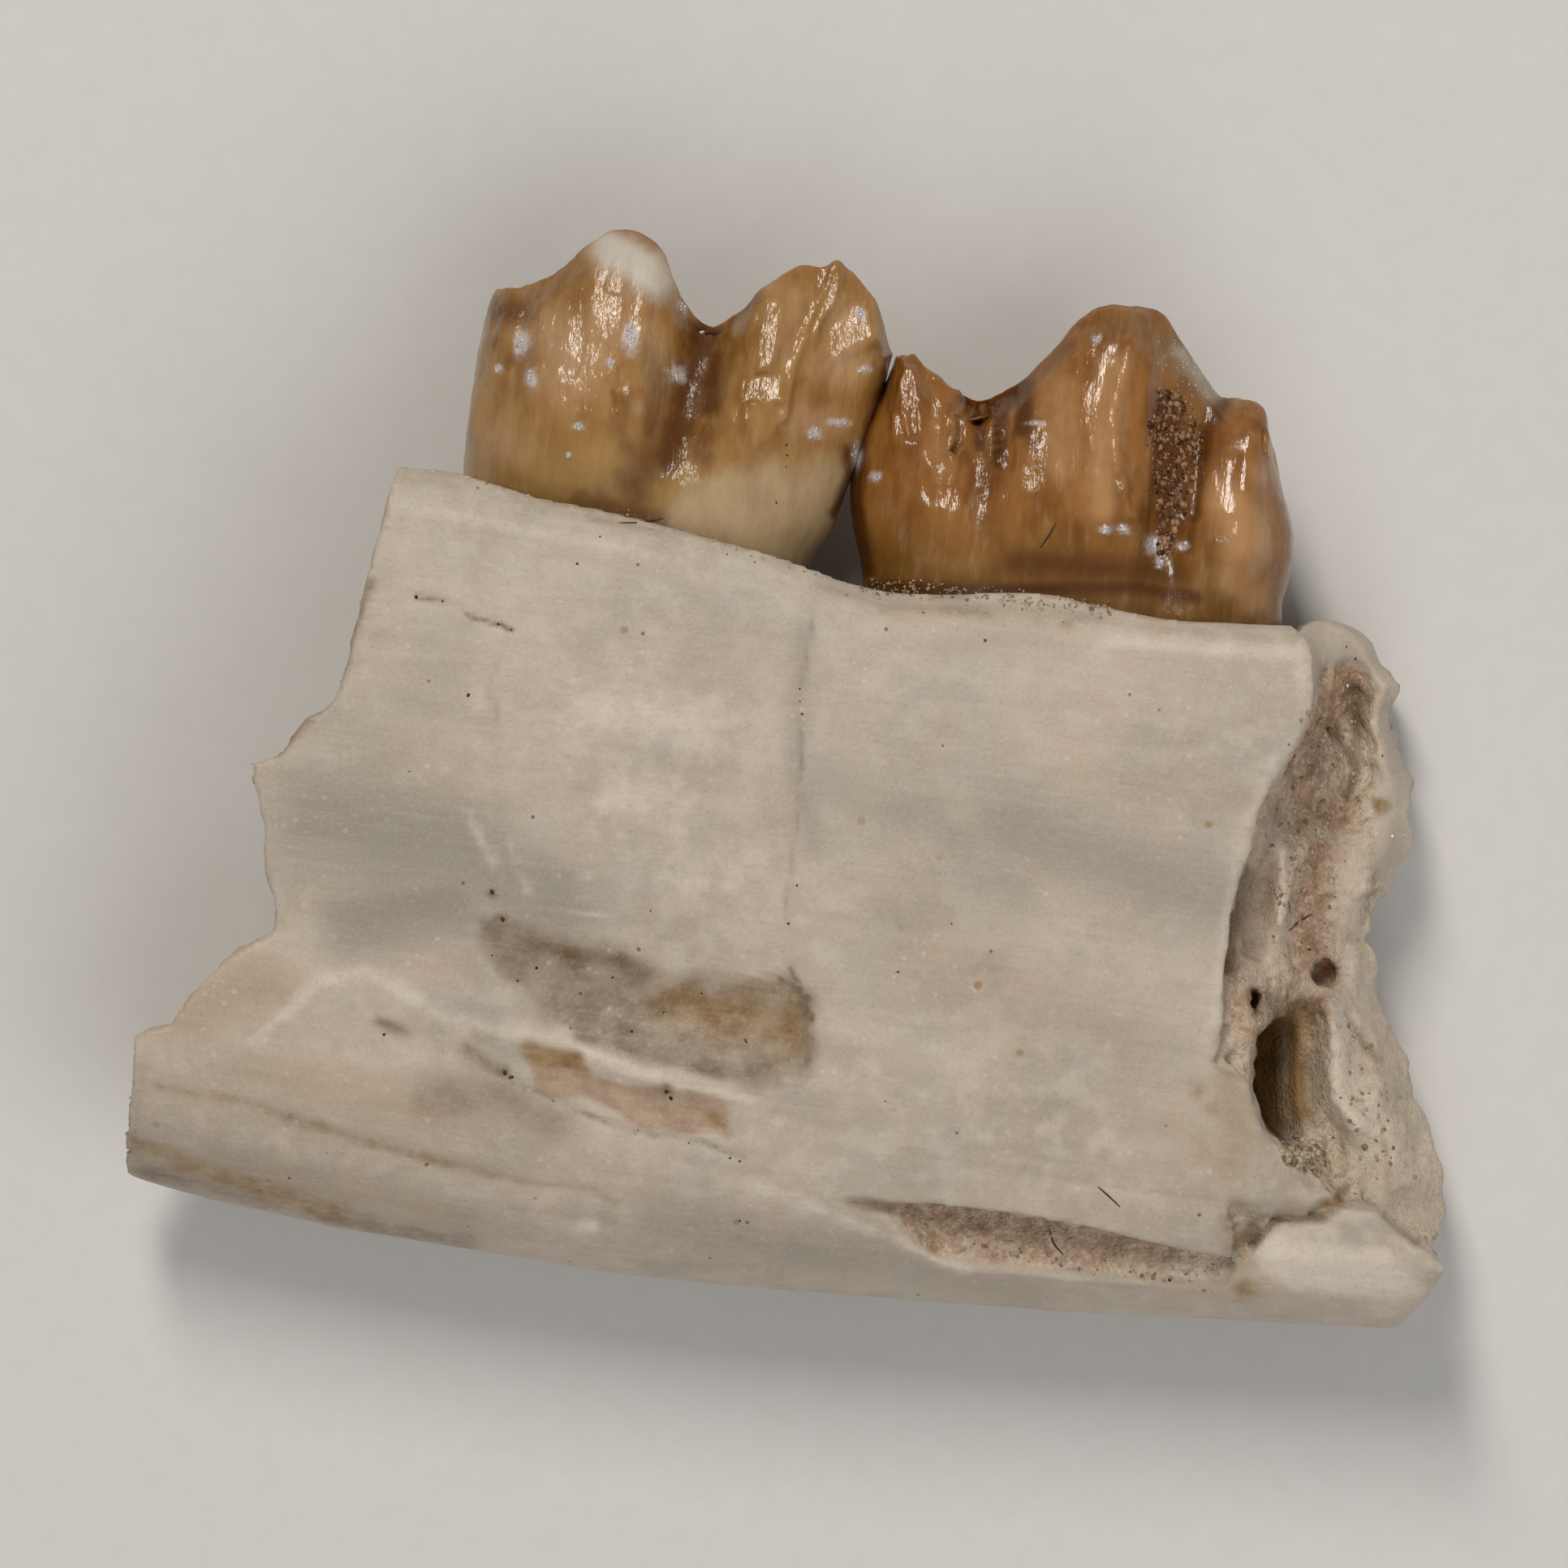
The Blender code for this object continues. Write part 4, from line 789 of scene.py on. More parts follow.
# The teeth's shape.
def crown_ring(tooth, level, grow, points):
    """A ring of the crown. level runs from -1 to 0 in the neck, to 1 up the wall, and to 2 over the top."""
    turns = np.arange(points) * 2 * math.pi / points
    cosine, sine = np.cos(turns), np.sin(turns)
    share = 0.5 + 0.5 * np.sign(cosine) * np.abs(cosine) ** WALL_SQUARENESS
    outward = np.sign(sine) * np.abs(sine) ** WALL_SQUARENESS
    up, inward, down = min(max(level, 0.0), 1.0), max(level - 1.0, 0.0), max(-level, 0.0)
    (_, rear_y), (_, front_y) = tooth["neck"]
    rear_top, front_top = tooth["tongue_rim"][0], tooth["tongue_rim"][-1]
    rear_at = rounded(tooth["rear_edge"])(rear_y + up * (rear_top[1] - rear_y))
    front_at = rounded(tooth["front_edge"])(front_y + up * (front_top[1] - front_y))
    top_x = rear_top[0] + share * (front_top[0] - rear_top[0])
    rim = np.where(sine >= 0, rounded(tooth["tongue_rim"])(top_x), rounded(tooth["cheek_rim"])(top_x))
    x = rear_at + share * (front_at - rear_at)
    neck_y = rear_y + share * (front_y - rear_y)
    y = neck_y + up * (rim - neck_y)
    tongue, cheek = (np.interp(up, WALL_SHARES, tooth[side]) for side in ("tongue_swell", "cheek_swell"))
    reach = np.where(sine >= 0, tooth["tongue_half"] * tongue, tooth["cheek_half"] * cheek)
    for groove in tooth["grooves"]:
        at = groove["foot"] + up * (groove["top"] - groove["foot"])
        depth = groove["foot_depth"] + up * (groove["top_depth"] - groove["foot_depth"])
        own_side = np.sign(sine) == groove["side"]
        reach = reach - depth * np.exp(-(((x - at) / groove["half_width"]) ** 2)) * own_side
    reach = np.maximum(reach, THINNEST_RIM)
    half, middle_x = (front_at - rear_at) / 2, (front_at + rear_at) / 2
    narrowing = (1 - CHEWING_TAPER * inward) * (1 - (1 - NECK_TAPER) * down)
    x = middle_x + (x - middle_x) * narrowing * (1 + grow / half)
    z = tooth["middle"] + (reach + grow) * outward * (1 - inward) * (1 - (1 - NECK_TAPER) * down)
    floor = rounded(tooth["chewing_floor"])(x)
    y = y + (floor - y) * smooth_step(0.0, 1.0, np.float64(inward)) + grow * up - NECK_DEPTH * down
    return np.stack([x, y, z], axis=1)


def root_form(tooth, root, grow):
    """One tapering root, buried in the bone."""
    (top_x, top_y), (tip_x, tip_y) = root["top"], root["tip"]
    turns = np.arange(ROOT_POINTS) * 2 * math.pi / ROOT_POINTS

    def place_ring(i):
        along = i / (ROOT_RINGS - 1)
        taper = 1 - (1 - ROOT_TIP_SHARE) * along**1.4
        x, y = top_x + along * (tip_x - top_x), top_y + along * (tip_y - top_y) - grow * along
        return np.stack([x + (root["half_length"] * taper + grow) * np.cos(turns), turns * 0 + y,
                         tooth["middle"] + (root["half_width"] * taper + grow) * np.sin(turns)], axis=1)

    return drawn_sphere("root", ROOT_POINTS, ROOT_RINGS, place_ring)


def tooth_form(name, tooth, points, rings, grow=0.0):
    """A whole tooth: crown, neck and two roots. With grow it is the socket's shape."""
    levels = np.concatenate([np.linspace(-1, 0, rings // 6, endpoint=False),
                             np.linspace(0, 1, rings, endpoint=False), np.linspace(1, 1.97, rings // 2)])
    crown = drawn_sphere(name, points, len(levels), lambda i: crown_ring(tooth, levels[i], grow, points))
    for root in tooth["roots"]:
        boolean(crown, root_form(tooth, root, grow), "UNION")
    return crown


def polish(piece, tooth, facets):
    """Flattens the worn facets into the wall around them, and tells where they are."""
    places = places_of(piece)
    x, y, z = places.T
    facing = (normals_of(piece)[:, 2] > 0.3) * (z > tooth["middle"])
    polished = np.zeros(len(places))
    for outline, slope_x, slope_y, soft in facets:
        share = inside_of(outline, x, y, soft) * facing
        inside = share > 0.5
        plane = slope_x * x + slope_y * y
        places[:, 2] += share * (plane - plane[inside].mean() + z[inside].mean() - z)
        polished = np.maximum(polished, share)
    move_to(piece, places)
    return polished


def carve_tooth(piece, tooth, strokes, facets, crinkled, seed):
    """Sculpts the tongue side's lobes and grooves, and the enamel's fine upright wrinkles."""
    apply_modifier(piece, "SMOOTH", factor=0.5, iterations=5)
    places, normals = places_of(piece), normals_of(piece)
    x, y, z = places.T
    tongue = smooth_step(0.1, 0.6, normals[:, 2]) * smooth_step(tooth["middle"], tooth["middle"] + 0.6, z)
    neck = line(tooth["neck"])(x)
    crown = smooth_step(neck - 0.3, neck + 0.4, y)
    move_to(piece, places + normals * (relief(strokes, x, y) * tongue)[:, None])
    polished = polish(piece, tooth, facets)
    places, normals = places_of(piece), normals_of(piece)
    leaning = places + np.outer(y, (-0.12, 0, 0))
    wrinkle = rough(leaning, (0.11, 0.34, 0.3), seed, 2)
    ripple = rough(leaning, (0.26, 0.8, 0.6), seed + 5, 2)
    lively = brushed(crinkled, x, y) * tongue * (1 - 0.3 * polished) + 0.25 * (1 - tongue)
    fine = (0.004 + 0.026 * lively) * wrinkle + (0.01 + 0.02 * lively) * ripple
    rise = crown * (1 - 0.3 * polished) * fine
    move_to(piece, places + normals * rise[:, None])


def make_tooth(name, tooth, strokes, facets, crinkled, seed):
    piece = tooth_form(name, tooth, TOOTH_POINTS, TOOTH_RINGS)
    carve_tooth(piece, tooth, strokes, facets, crinkled, seed)
    return piece


# Finishing.
def to_metres(piece):
    """Turns the finished piece from millimetres to metres, with its place kept in its mesh."""
    alone(piece)
    piece.scale = (MM, MM, MM)
    bpy.ops.object.transform_apply(location=True, rotation=True, scale=True)
    bpy.ops.object.shade_smooth()


# Stains, among them strokes of painted shade and painted highlight, each as points, half width and strength.
HOLLOW_STAIN = [
    (-4.9, -2.1), (-4.4, -2.1), (-3.9, -2.3), (-3.4, -2.5), (-3.0, -2.45), (-2.5, -2.6), (-2.1, -2.85),
    (-1.7, -3.0), (-0.5, -3.02), (0.1, -2.95), (0.35, -3.2), (0.52, -3.6), (0.45, -4.2), (0.25, -4.75),
    (-0.6, -4.75), (-1.5, -4.58), (-2.2, -4.4), (-2.9, -4.1), (-3.4, -3.95), (-3.8, -3.7), (-4.2, -3.3),
    (-4.6, -2.9), (-4.9, -2.6),
]
GASH_STAIN = [
    (-4.05, -4.15), (-3.2, -4.25), (-3.1, -4.6), (-2.5, -4.7), (-1.9, -4.8), (-1.0, -4.95), (-0.85, -5.1),
    (-0.9, -5.45), (-1.5, -5.5), (-2.3, -5.42), (-2.6, -5.22), (-3.0, -5.02), (-3.6, -4.95), (-3.9, -4.8),
]
# Brown stains; the strokes along the hollow's upper bank, the slot's upper lip and the lower-left border are
# painted shade.
BROWN_STAIN_AND_SHADE = [
    ([(-4.3, -2.35), (-3.6, -2.65), (-2.8, -2.75), (-2.2, -3.0)], 0.3, 0.82),
    ([(-2.0, -3.5), (-0.1, -3.7)], 0.5, 0.8), ([(-0.05, -3.05), (0.25, -3.3), (0.42, -3.7)], 0.09, 0.9),
    ([(-4.42, -2.15)], 0.14, 1.0), ([(-4.6, -1.72)], 0.09, 0.9),
    ([(-4.0, -4.2), (-3.7, -4.35), (-3.3, -4.38)], 0.13, 0.7), ([(-1.85, -4.82)], 0.13, 1.0),
    ([(-4.4, -4.52)], 0.13, 0.9), ([(-3.62, -3.4), (-3.55, -3.65)], 0.12, 0.9),
    ([(-2.95, -3.1), (-2.75, -3.35)], 0.1, 0.85), ([(-3.9, -2.45)], 0.12, 0.9),
    ([(-2.3, -3.05), (-1.75, -3.22)], 0.06, 0.9), ([(-2.2, -5.0), (-1.9, -4.75)], 0.09, 0.5),
    ([(-6.4, -3.75), (-5.9, -3.92)], 0.14, 0.6), ([(-6.9, -3.5)], 0.2, 0.3), ([(-2.2, -3.35)], 0.12, 0.5),
    ([(-5.0, -4.2), (-4.5, -4.5)], 0.16, 0.65), ([(-4.5, -5.06), (-3.9, -5.4)], 0.25, 0.25),
    ([(-9.9, -4.73), (-8.95, -4.9), (-8.14, -5.14)], 0.1, 0.3),
    ([(-8.14, -5.14), (-7.32, -5.43), (-6.5, -5.67), (-5.28, -6.0)], 0.1, 0.5),
    ([(-5.28, -6.0), (-4.05, -6.29), (-2.99, -6.41), (-2.66, -6.65)], 0.09, 0.38),
    ([(-5.8, 2.95), (-5.35, 2.87)], 0.06, 0.7), ([(-5.0, 2.65), (-4.45, 2.5), (-4.25, 2.4)], 0.05, 0.8),
    ([(1.15, -6.6), (3.0, -6.9), (5.0, -7.28), (7.0, -7.7)], 0.12, 0.95),
    ([(3.4, -7.3), (5.0, -7.6), (6.8, -7.85)], 0.3, 0.5),
    ([(-10.2, -6.15), (-8.6, -6.5), (-6.8, -6.95), (-5.0, -7.3)], 0.22, 0.6),
    ([(-5.6, -4.9), (-4.4, -4.95), (-3.6, -5.3)], 0.45, 0.5),
    ([(-3.2, -3.95), (-2.2, -4.25), (-1.0, -4.55)], 0.16, 0.75), ([(-10.3, -5.9), (-10.1, -4.4)], 0.15, 0.35),
    ([(-6.5, 3.2), (-7.2, 1.3), (-8.0, 0.5)], 0.12, 0.6), ([(7.0, -6.9), (7.15, -7.5)], 0.22, 0.5),
    ([(0.6, 3.1), (1.6, 2.85), (3.1, 2.75), (5.0, 2.6)], 0.14, 0.35), ([(-3.1, 4.2), (-1.9, 3.95)], 0.1, 0.4),
]
# Brown on the broken surfaces; some strokes also darken it along grooves and along the crevice under the plate.
BREAK_STAIN = [
    ([(9.1, 1.5), (9.12, 0.9), (9.1, 0.3)], 0.14, 0.8),
    ([(8.75, 0.8), (9.0, 0.5), (9.15, 0.25), (8.95, -0.2)], 0.1, 0.75), ([(8.4, 0.4), (8.3, 0.1)], 0.1, 0.4),
    ([(8.9, -3.65), (9.1, -3.9), (9.25, -4.2)], 0.05, 0.6), ([(9.5, -5.6), (9.6, -6.5)], 0.08, 0.4),
    ([(8.0, 0.3), (7.75, -0.5)], 0.12, 0.45), ([(8.5, -0.4), (8.4, -1.4)], 0.3, 0.25),
    ([(7.3, -1.4), (7.15, -2.0), (7.0, -2.9)], 0.14, 1.0), ([(8.5, -2.1), (8.3, -2.8)], 0.25, 0.5),
    ([(9.5, -0.35)], 0.15, 0.9), ([(7.7, -3.4), (7.9, -3.7), (8.3, -3.6)], 0.25, 0.75),
    ([(9.0, -3.8), (9.4, -4.4)], 0.1, 0.5), ([(8.8, -6.55)], 0.14, 0.8),
    ([(7.4, -7.25), (7.8, -6.88), (8.5, -6.84)], 0.1, 0.9), ([(7.1, -7.3), (7.45, -7.0)], 0.2, 0.85),
    ([(9.5, -6.85), (10.0, -7.25)], 0.1, 0.5), ([(6.75, -4.45), (6.9, -5.0)], 0.16, 0.45),
    ([(7.0, -7.9), (7.8, -8.0)], 0.25, 0.3), ([(9.4, -1.4), (9.2, -2.2)], 0.12, 0.4),
]
# The canal's dark floor; the code darkens it further with depth as painted shade.
DARK_HOLLOW = [
    ([(7.6, -4.2), (7.65, -4.8), (7.85, -5.4)], 0.36, 1.0), ([(8.1, -4.0), (8.15, -5.2)], 0.3, 0.95),
    ([(7.9, -3.8), (8.3, -3.5)], 0.25, 0.6),
]
AMBER = [([(8.2, -3.7), (8.3, -4.4), (8.15, -5.2)], 0.3, 1.0), ([(8.4, -3.55)], 0.2, 0.8)]
BROWN_SPONGE = [
    ([(8.9, 1.6), (8.4, 0.6), (8.0, -0.6)], 0.5, 1.0), ([(8.7, -0.6), (8.4, -1.6), (8.3, -2.8)], 0.5, 0.9),
    ([(7.6, -1.2), (7.2, -2.4), (7.3, -3.6)], 0.4, 0.8), ([(7.9, -3.7), (8.4, -3.7)], 0.35, 0.9),
    ([(9.1, -4.0), (9.6, -5.0)], 0.25, 0.5), ([(9.4, -6.2), (9.9, -6.5)], 0.3, 0.5),
]
PIN_HOLES = [([(8.64, -2.98)], 0.2, 1.0), ([(7.41, -3.34)], 0.12, 1.0), ([(7.44, -3.6)], 0.06, 1.0)]
GREY_STAIN = [
    ([(-7.4, -0.6), (-5.2, -1.0), (-3.6, -1.9)], 1.0, 0.8), ([(-5.2, -1.9), (-6.8, -2.3)], 0.7, 0.8),
    ([(0.3, 2.4), (0.2, 0.3), (0.5, -1.0)], 0.3, 0.5), ([(0.6, 0.1), (2.2, -0.5), (3.8, -1.8)], 0.6, 0.45),
    ([(3.6, -0.6), (5.4, -1.3), (6.8, -1.9)], 0.9, 0.6), ([(-5.5, 2.0), (-6.3, 0.4)], 0.9, 0.35),
    ([(-0.8, -4.6), (0.6, -5.2)], 0.3, 0.4), ([(-2.0, -6.9), (1.0, -7.4), (4.0, -8.1)], 0.5, 0.45),
    ([(9.0, 2.3), (9.3, 1.9)], 0.35, 0.35), ([(9.7, -0.9), (9.5, -1.5)], 0.3, 0.5),
    ([(7.75, -0.3), (7.7, -1.0)], 0.25, 0.7), ([(9.6, 1.2), (9.8, 0.2)], 0.3, 0.4),
    ([(-5.8, -3.3), (-4.6, -3.7)], 0.3, 0.5), ([(3.0, 0.6), (1.5, -3.0)], 0.8, 0.3),
]
WARM_STAIN = [
    ([(4.6, 0.2), (6.0, 0.0), (7.2, -0.3)], 0.55, 0.4), ([(5.6, 1.9), (6.6, 1.5)], 0.5, 0.3),
    ([(2.5, 2.2), (4.5, 2.4)], 0.3, 0.35), ([(-9.4, -3.6), (-8.4, -3.2)], 0.7, 0.65),
    ([(-8.5, -4.5), (-5.5, -5.2)], 0.6, 0.5), ([(7.0, -4.7), (7.2, -5.6), (7.0, -6.0)], 0.4, 0.7),
    ([(7.15, -6.7), (7.3, -7.1), (7.2, -7.5)], 0.25, 0.9),
    ([(2.2, -2.6), (5.5, -3.9), (6.5, -5.8)], 0.9, 0.35), ([(7.1, -7.95), (7.8, -8.05)], 0.4, 0.4),
    ([(-1.0, 1.8), (-1.8, -0.6)], 0.8, 0.3), ([(-9.0, -5.9), (-5.0, -6.9)], 0.35, 0.5),
]
# Pale bloom; the strokes along the ridge crests and along the upper rim are painted highlight.
PALE_BLOOM_AND_HIGHLIGHT = [
    ([(-3.0, 1.2), (-1.2, 1.0)], 0.6, 0.5), ([(-2.6, -0.2), (-1.6, -0.4)], 0.6, 0.5),
    ([(-2.0, -1.0), (-0.6, -1.6)], 0.5, 0.35), ([(-8.42, -4.09), (-7.89, -3.65), (-7.33, -3.13)], 0.12, 0.7),
    ([(-7.33, -3.13), (-6.6, -2.95), (-5.77, -3.4)], 0.16, 0.6),
    ([(-5.77, -3.45), (-4.92, -3.8), (-4.1, -3.97), (-3.3, -4.1)], 0.16, 0.45),
    ([(-3.2, -4.2), (-2.9, -4.34), (-2.4, -4.52), (-2.0, -4.64)], 0.11, 1.0),
    ([(-2.0, -4.64), (-1.2, -4.86), (-0.4, -4.98)], 0.08, 0.7), ([(-3.07, -6.94)], 0.16, 0.8),
    ([(-5.0, -0.4), (-4.6, -1.2)], 0.1, 0.5), ([(-4.3, -0.9), (-4.0, -1.9)], 0.1, 0.45),
    ([(-3.1, -1.2), (-3.0, -2.1)], 0.08, 0.5), ([(1.2, -4.4), (2.2, -4.9)], 0.1, 0.4),
    ([(-6.0, 4.4), (-4.0, 4.0), (-2.0, 3.6)], 0.12, 0.4), ([(5.0, 2.25), (8.0, 2.1)], 0.16, 0.55),
    ([(8.1, 1.9), (8.2, 1.2)], 0.16, 0.5), ([(7.7, 0.4), (7.2, -0.8), (6.95, -2.2), (6.7, -4.0)], 0.12, 0.4),
    ([(7.87, -1.0), (7.87, -2.3)], 0.12, 0.9), ([(8.75, -3.6), (8.8, -5.0), (9.2, -5.6)], 0.22, 0.9),
    ([(8.0, -5.9), (8.5, -6.1)], 0.2, 0.9), ([(9.3, -4.8), (9.4, -6.2)], 0.3, 0.5), ([(9.9, -6.0)], 0.5, 0.5),
    ([(-4.8, 1.5), (-4.5, -1.5)], 0.12, 0.25), ([(2.0, -5.0), (5.0, -5.6)], 0.3, 0.25),
    ([(7.9, -7.5), (9.7, -7.9)], 0.5, 0.9), ([(-0.5, -6.3), (1.5, -7.1), (2.9, -7.7)], 0.12, 0.6),
]
HAIRLINE = [
    ([(0.5, 2.83), (0.25, 1.3), (0.3, 0.6), (0.22, -0.4), (0.05, -1.8), (0.1, -2.9)], 0.035, 0.36),
    ([(0.1, -2.9), (0.38, -3.4)], 0.05, 0.9), ([(0.35, -3.4), (0.4, -4.6), (-0.3, -5.3)], 0.05, 0.3),
    ([(1.2, -5.3), (3.4, -5.75), (5.6, -6.25)], 0.04, 0.3),
    ([(-4.5, -4.55), (-3.64, -5.0), (-2.41, -5.47), (-1.19, -5.67), (-0.66, -5.92)], 0.045, 0.6),
    ([(-4.35, 2.4), (-4.6, 1.6), (-4.5, 0.9)], 0.04, 0.3),
]
# Dark enamel: partly its own stain, partly painted shade in the valley between the lobes and in the gap beside
# the premolar.
MOLAR_DARK = [
    ([(-1.25, 7.15), (-1.45, 6.4), (-1.65, 5.7), (-1.85, 5.2)], 0.34, 1.0),
    ([(-1.15, 6.75), (-1.2, 6.0)], 0.26, 0.95), ([(-2.0, 5.3), (-2.35, 4.8), (-2.4, 4.4)], 0.42, 0.62),
    ([(-2.5, 6.1), (-2.6, 5.6), (-2.4, 5.2)], 0.22, 0.5), ([(-2.05, 5.9), (-2.1, 5.5)], 0.2, 0.6),
    ([(-1.25, 5.6), (-1.3, 5.2)], 0.25, 0.55), ([(-3.2, 4.5), (-2.6, 4.35), (-2.0, 4.15)], 0.24, 0.65),
    ([(-4.3, 4.85), (-3.3, 4.6)], 0.2, 0.3), ([(-2.7, 6.2), (-2.64, 5.85)], 0.06, 0.6),
    ([(1.62, 6.5), (1.35, 5.3)], 0.18, 0.9), ([(1.0, 5.3), (1.05, 4.8), (0.8, 4.3)], 0.12, 0.8),
    ([(-4.65, 7.55), (-4.2, 7.45)], 0.3, 0.7), ([(-4.6, 7.0), (-4.35, 6.7)], 0.2, 0.4),
    ([(0.85, 4.4), (1.1, 5.1)], 0.14, 0.6), ([(-0.8, 7.35), (-0.4, 7.75)], 0.12, 0.5),
]
MOLAR_PALE = [([(-2.75, 8.45), (-2.35, 8.25), (-2.05, 8.0)], 0.36, 1.0), ([(-2.4, 7.85)], 0.25, 0.4)]
MOLAR_ROSY = [
    ([(-3.6, 7.1), (-3.3, 6.5), (-2.8, 7.3)], 0.5, 0.8), ([(-3.4, 6.1), (-3.8, 6.4)], 0.4, 0.6),
    ([(-2.3, 5.95)], 0.2, 0.7), ([(1.0, 7.4), (0.9, 6.6)], 0.4, 0.7), ([(-2.1, 7.2), (-2.0, 6.8)], 0.25, 0.6),
    ([(0.1, 7.7), (-0.1, 6.8)], 0.3, 0.5), ([(0.2, 5.7), (0.8, 5.7)], 0.35, 0.6),
    ([(-4.6, 5.5), (-4.2, 5.2)], 0.35, 0.5),
]
MOLAR_GREY = [
    ([(-2.1, 6.7), (-2.0, 6.3)], 0.3, 0.6), ([(-4.75, 7.0), (-4.75, 6.4)], 0.2, 0.4),
    ([(-2.9, 4.7), (-1.9, 4.9)], 0.25, 0.5), ([(-1.6, 7.4), (-1.2, 7.1)], 0.2, 0.6),
    ([(-3.3, 8.1), (-3.7, 7.8)], 0.25, 0.4), ([(1.5, 6.9), (1.55, 6.3)], 0.15, 0.6),
]
# Dark enamel: partly its own stain, partly painted shade in the notch and in the gap beside the molar; it is
# also darker along the base.
PREMOLAR_DARK = [
    ([(2.9, 6.1), (3.35, 6.0), (3.8, 6.3)], 0.19, 1.0), ([(3.1, 5.9), (3.1, 5.35)], 0.13, 0.85),
    ([(3.45, 5.9), (3.42, 5.1)], 0.14, 1.0), ([(3.85, 6.3), (3.78, 5.6)], 0.16, 0.9),
    ([(1.4, 6.3), (1.2, 5.5), (1.15, 4.4), (1.3, 3.4)], 0.17, 0.95),
    ([(1.45, 3.12), (3.2, 3.02), (4.5, 3.1), (5.6, 3.12), (6.5, 2.95)], 0.16, 0.85),
    ([(3.7, 3.5), (5.0, 3.4), (6.2, 3.35)], 0.3, 0.7), ([(7.5, 5.7)], 0.15, 0.5),
    ([(6.05, 5.9), (6.15, 5.2), (6.1, 4.2)], 0.34, 1.0),
    ([(6.95, 6.05), (6.7, 5.6), (6.55, 5.1)], 0.18, 0.85), ([(6.6, 5.0), (6.4, 3.7)], 0.1, 0.7),
    ([(3.15, 5.2), (3.2, 4.6)], 0.25, 0.3),
]
PREMOLAR_PALE = [([(6.3, 6.85), (6.8, 6.2)], 0.2, 0.45)]
PREMOLAR_ROSY = [
    ([(5.2, 6.6), (5.1, 5.6), (5.0, 4.4)], 0.3, 0.9), ([(4.4, 6.2), (4.4, 5.0)], 0.35, 0.7),
    ([(2.4, 5.3), (2.6, 5.0)], 0.3, 0.5), ([(7.0, 4.5), (7.35, 3.9), (7.2, 3.3)], 0.42, 1.0),
    ([(7.5, 4.9)], 0.25, 0.5), ([(7.4, 3.0)], 0.35, 0.9), ([(2.2, 3.6), (3.0, 3.5)], 0.3, 0.3),
]
PREMOLAR_GREY = [
    ([(2.75, 6.1), (2.75, 5.3)], 0.14, 0.5), ([(3.38, 5.8), (3.32, 5.2)], 0.12, 0.6),
    ([(6.2, 6.9), (6.8, 6.2)], 0.4, 0.9), ([(5.2, 7.3), (5.9, 7.2)], 0.25, 0.5),
    ([(5.55, 4.0), (5.65, 3.7)], 0.15, 0.4),
]
MOLAR_ROOT_LINE = [
    (-5.3, 2.8), (-2.3, 3.2), (-1.95, 4.2), (-1.6, 4.72), (-1.0, 4.88), (0.3, 5.05), (0.9, 5.2), (1.3, 5.5),
]
PREMOLAR_ROOT_LINE = [(1.0, 2.7), (4.5, 2.6), (8.1, 2.1)]


OCHRE_STAIN = [
    ([(-1.6, -3.6), (-0.3, -3.7), (0.1, -4.0)], 0.5, 0.6), ([(-4.0, -4.2), (-3.75, -4.35)], 0.2, 0.9),
    ([(-3.4, -4.3), (-3.15, -4.55)], 0.15, 0.8), ([(-1.15, -5.2), (-0.9, -5.5)], 0.12, 0.7),
    ([(-4.0, -4.2), (-3.3, -4.36)], 0.14, 1.0), ([(-1.8, -3.4), (0.1, -3.6)], 0.45, 0.5),
    ([(-9.9, -4.75), (-7.3, -5.45), (-4.0, -6.3)], 0.22, 0.4),
    ([(-10.2, -5.7), (-9.0, -6.2), (-7.0, -6.8)], 0.22, 0.7), ([(6.5, -4.8)], 0.2, 0.6),
    ([(6.75, -5.1)], 0.15, 0.7), ([(6.6, -5.7)], 0.3, 0.45), ([(6.1, -6.1)], 0.2, 0.4),
    ([(7.3, -8.0)], 0.22, 0.8), ([(7.1, -7.2)], 0.18, 0.6), ([(8.5, -6.62), (8.75, -6.6)], 0.09, 0.9),
    ([(9.5, -0.35)], 0.13, 1.0), ([(1.5, 2.75), (3.0, 2.7), (4.5, 2.5)], 0.1, 0.45), ([(7.3, 1.0)], 0.2, 0.4),
    ([(6.9, 1.6)], 0.15, 0.35), ([(-7.9, -3.2)], 0.4, 0.4),
]


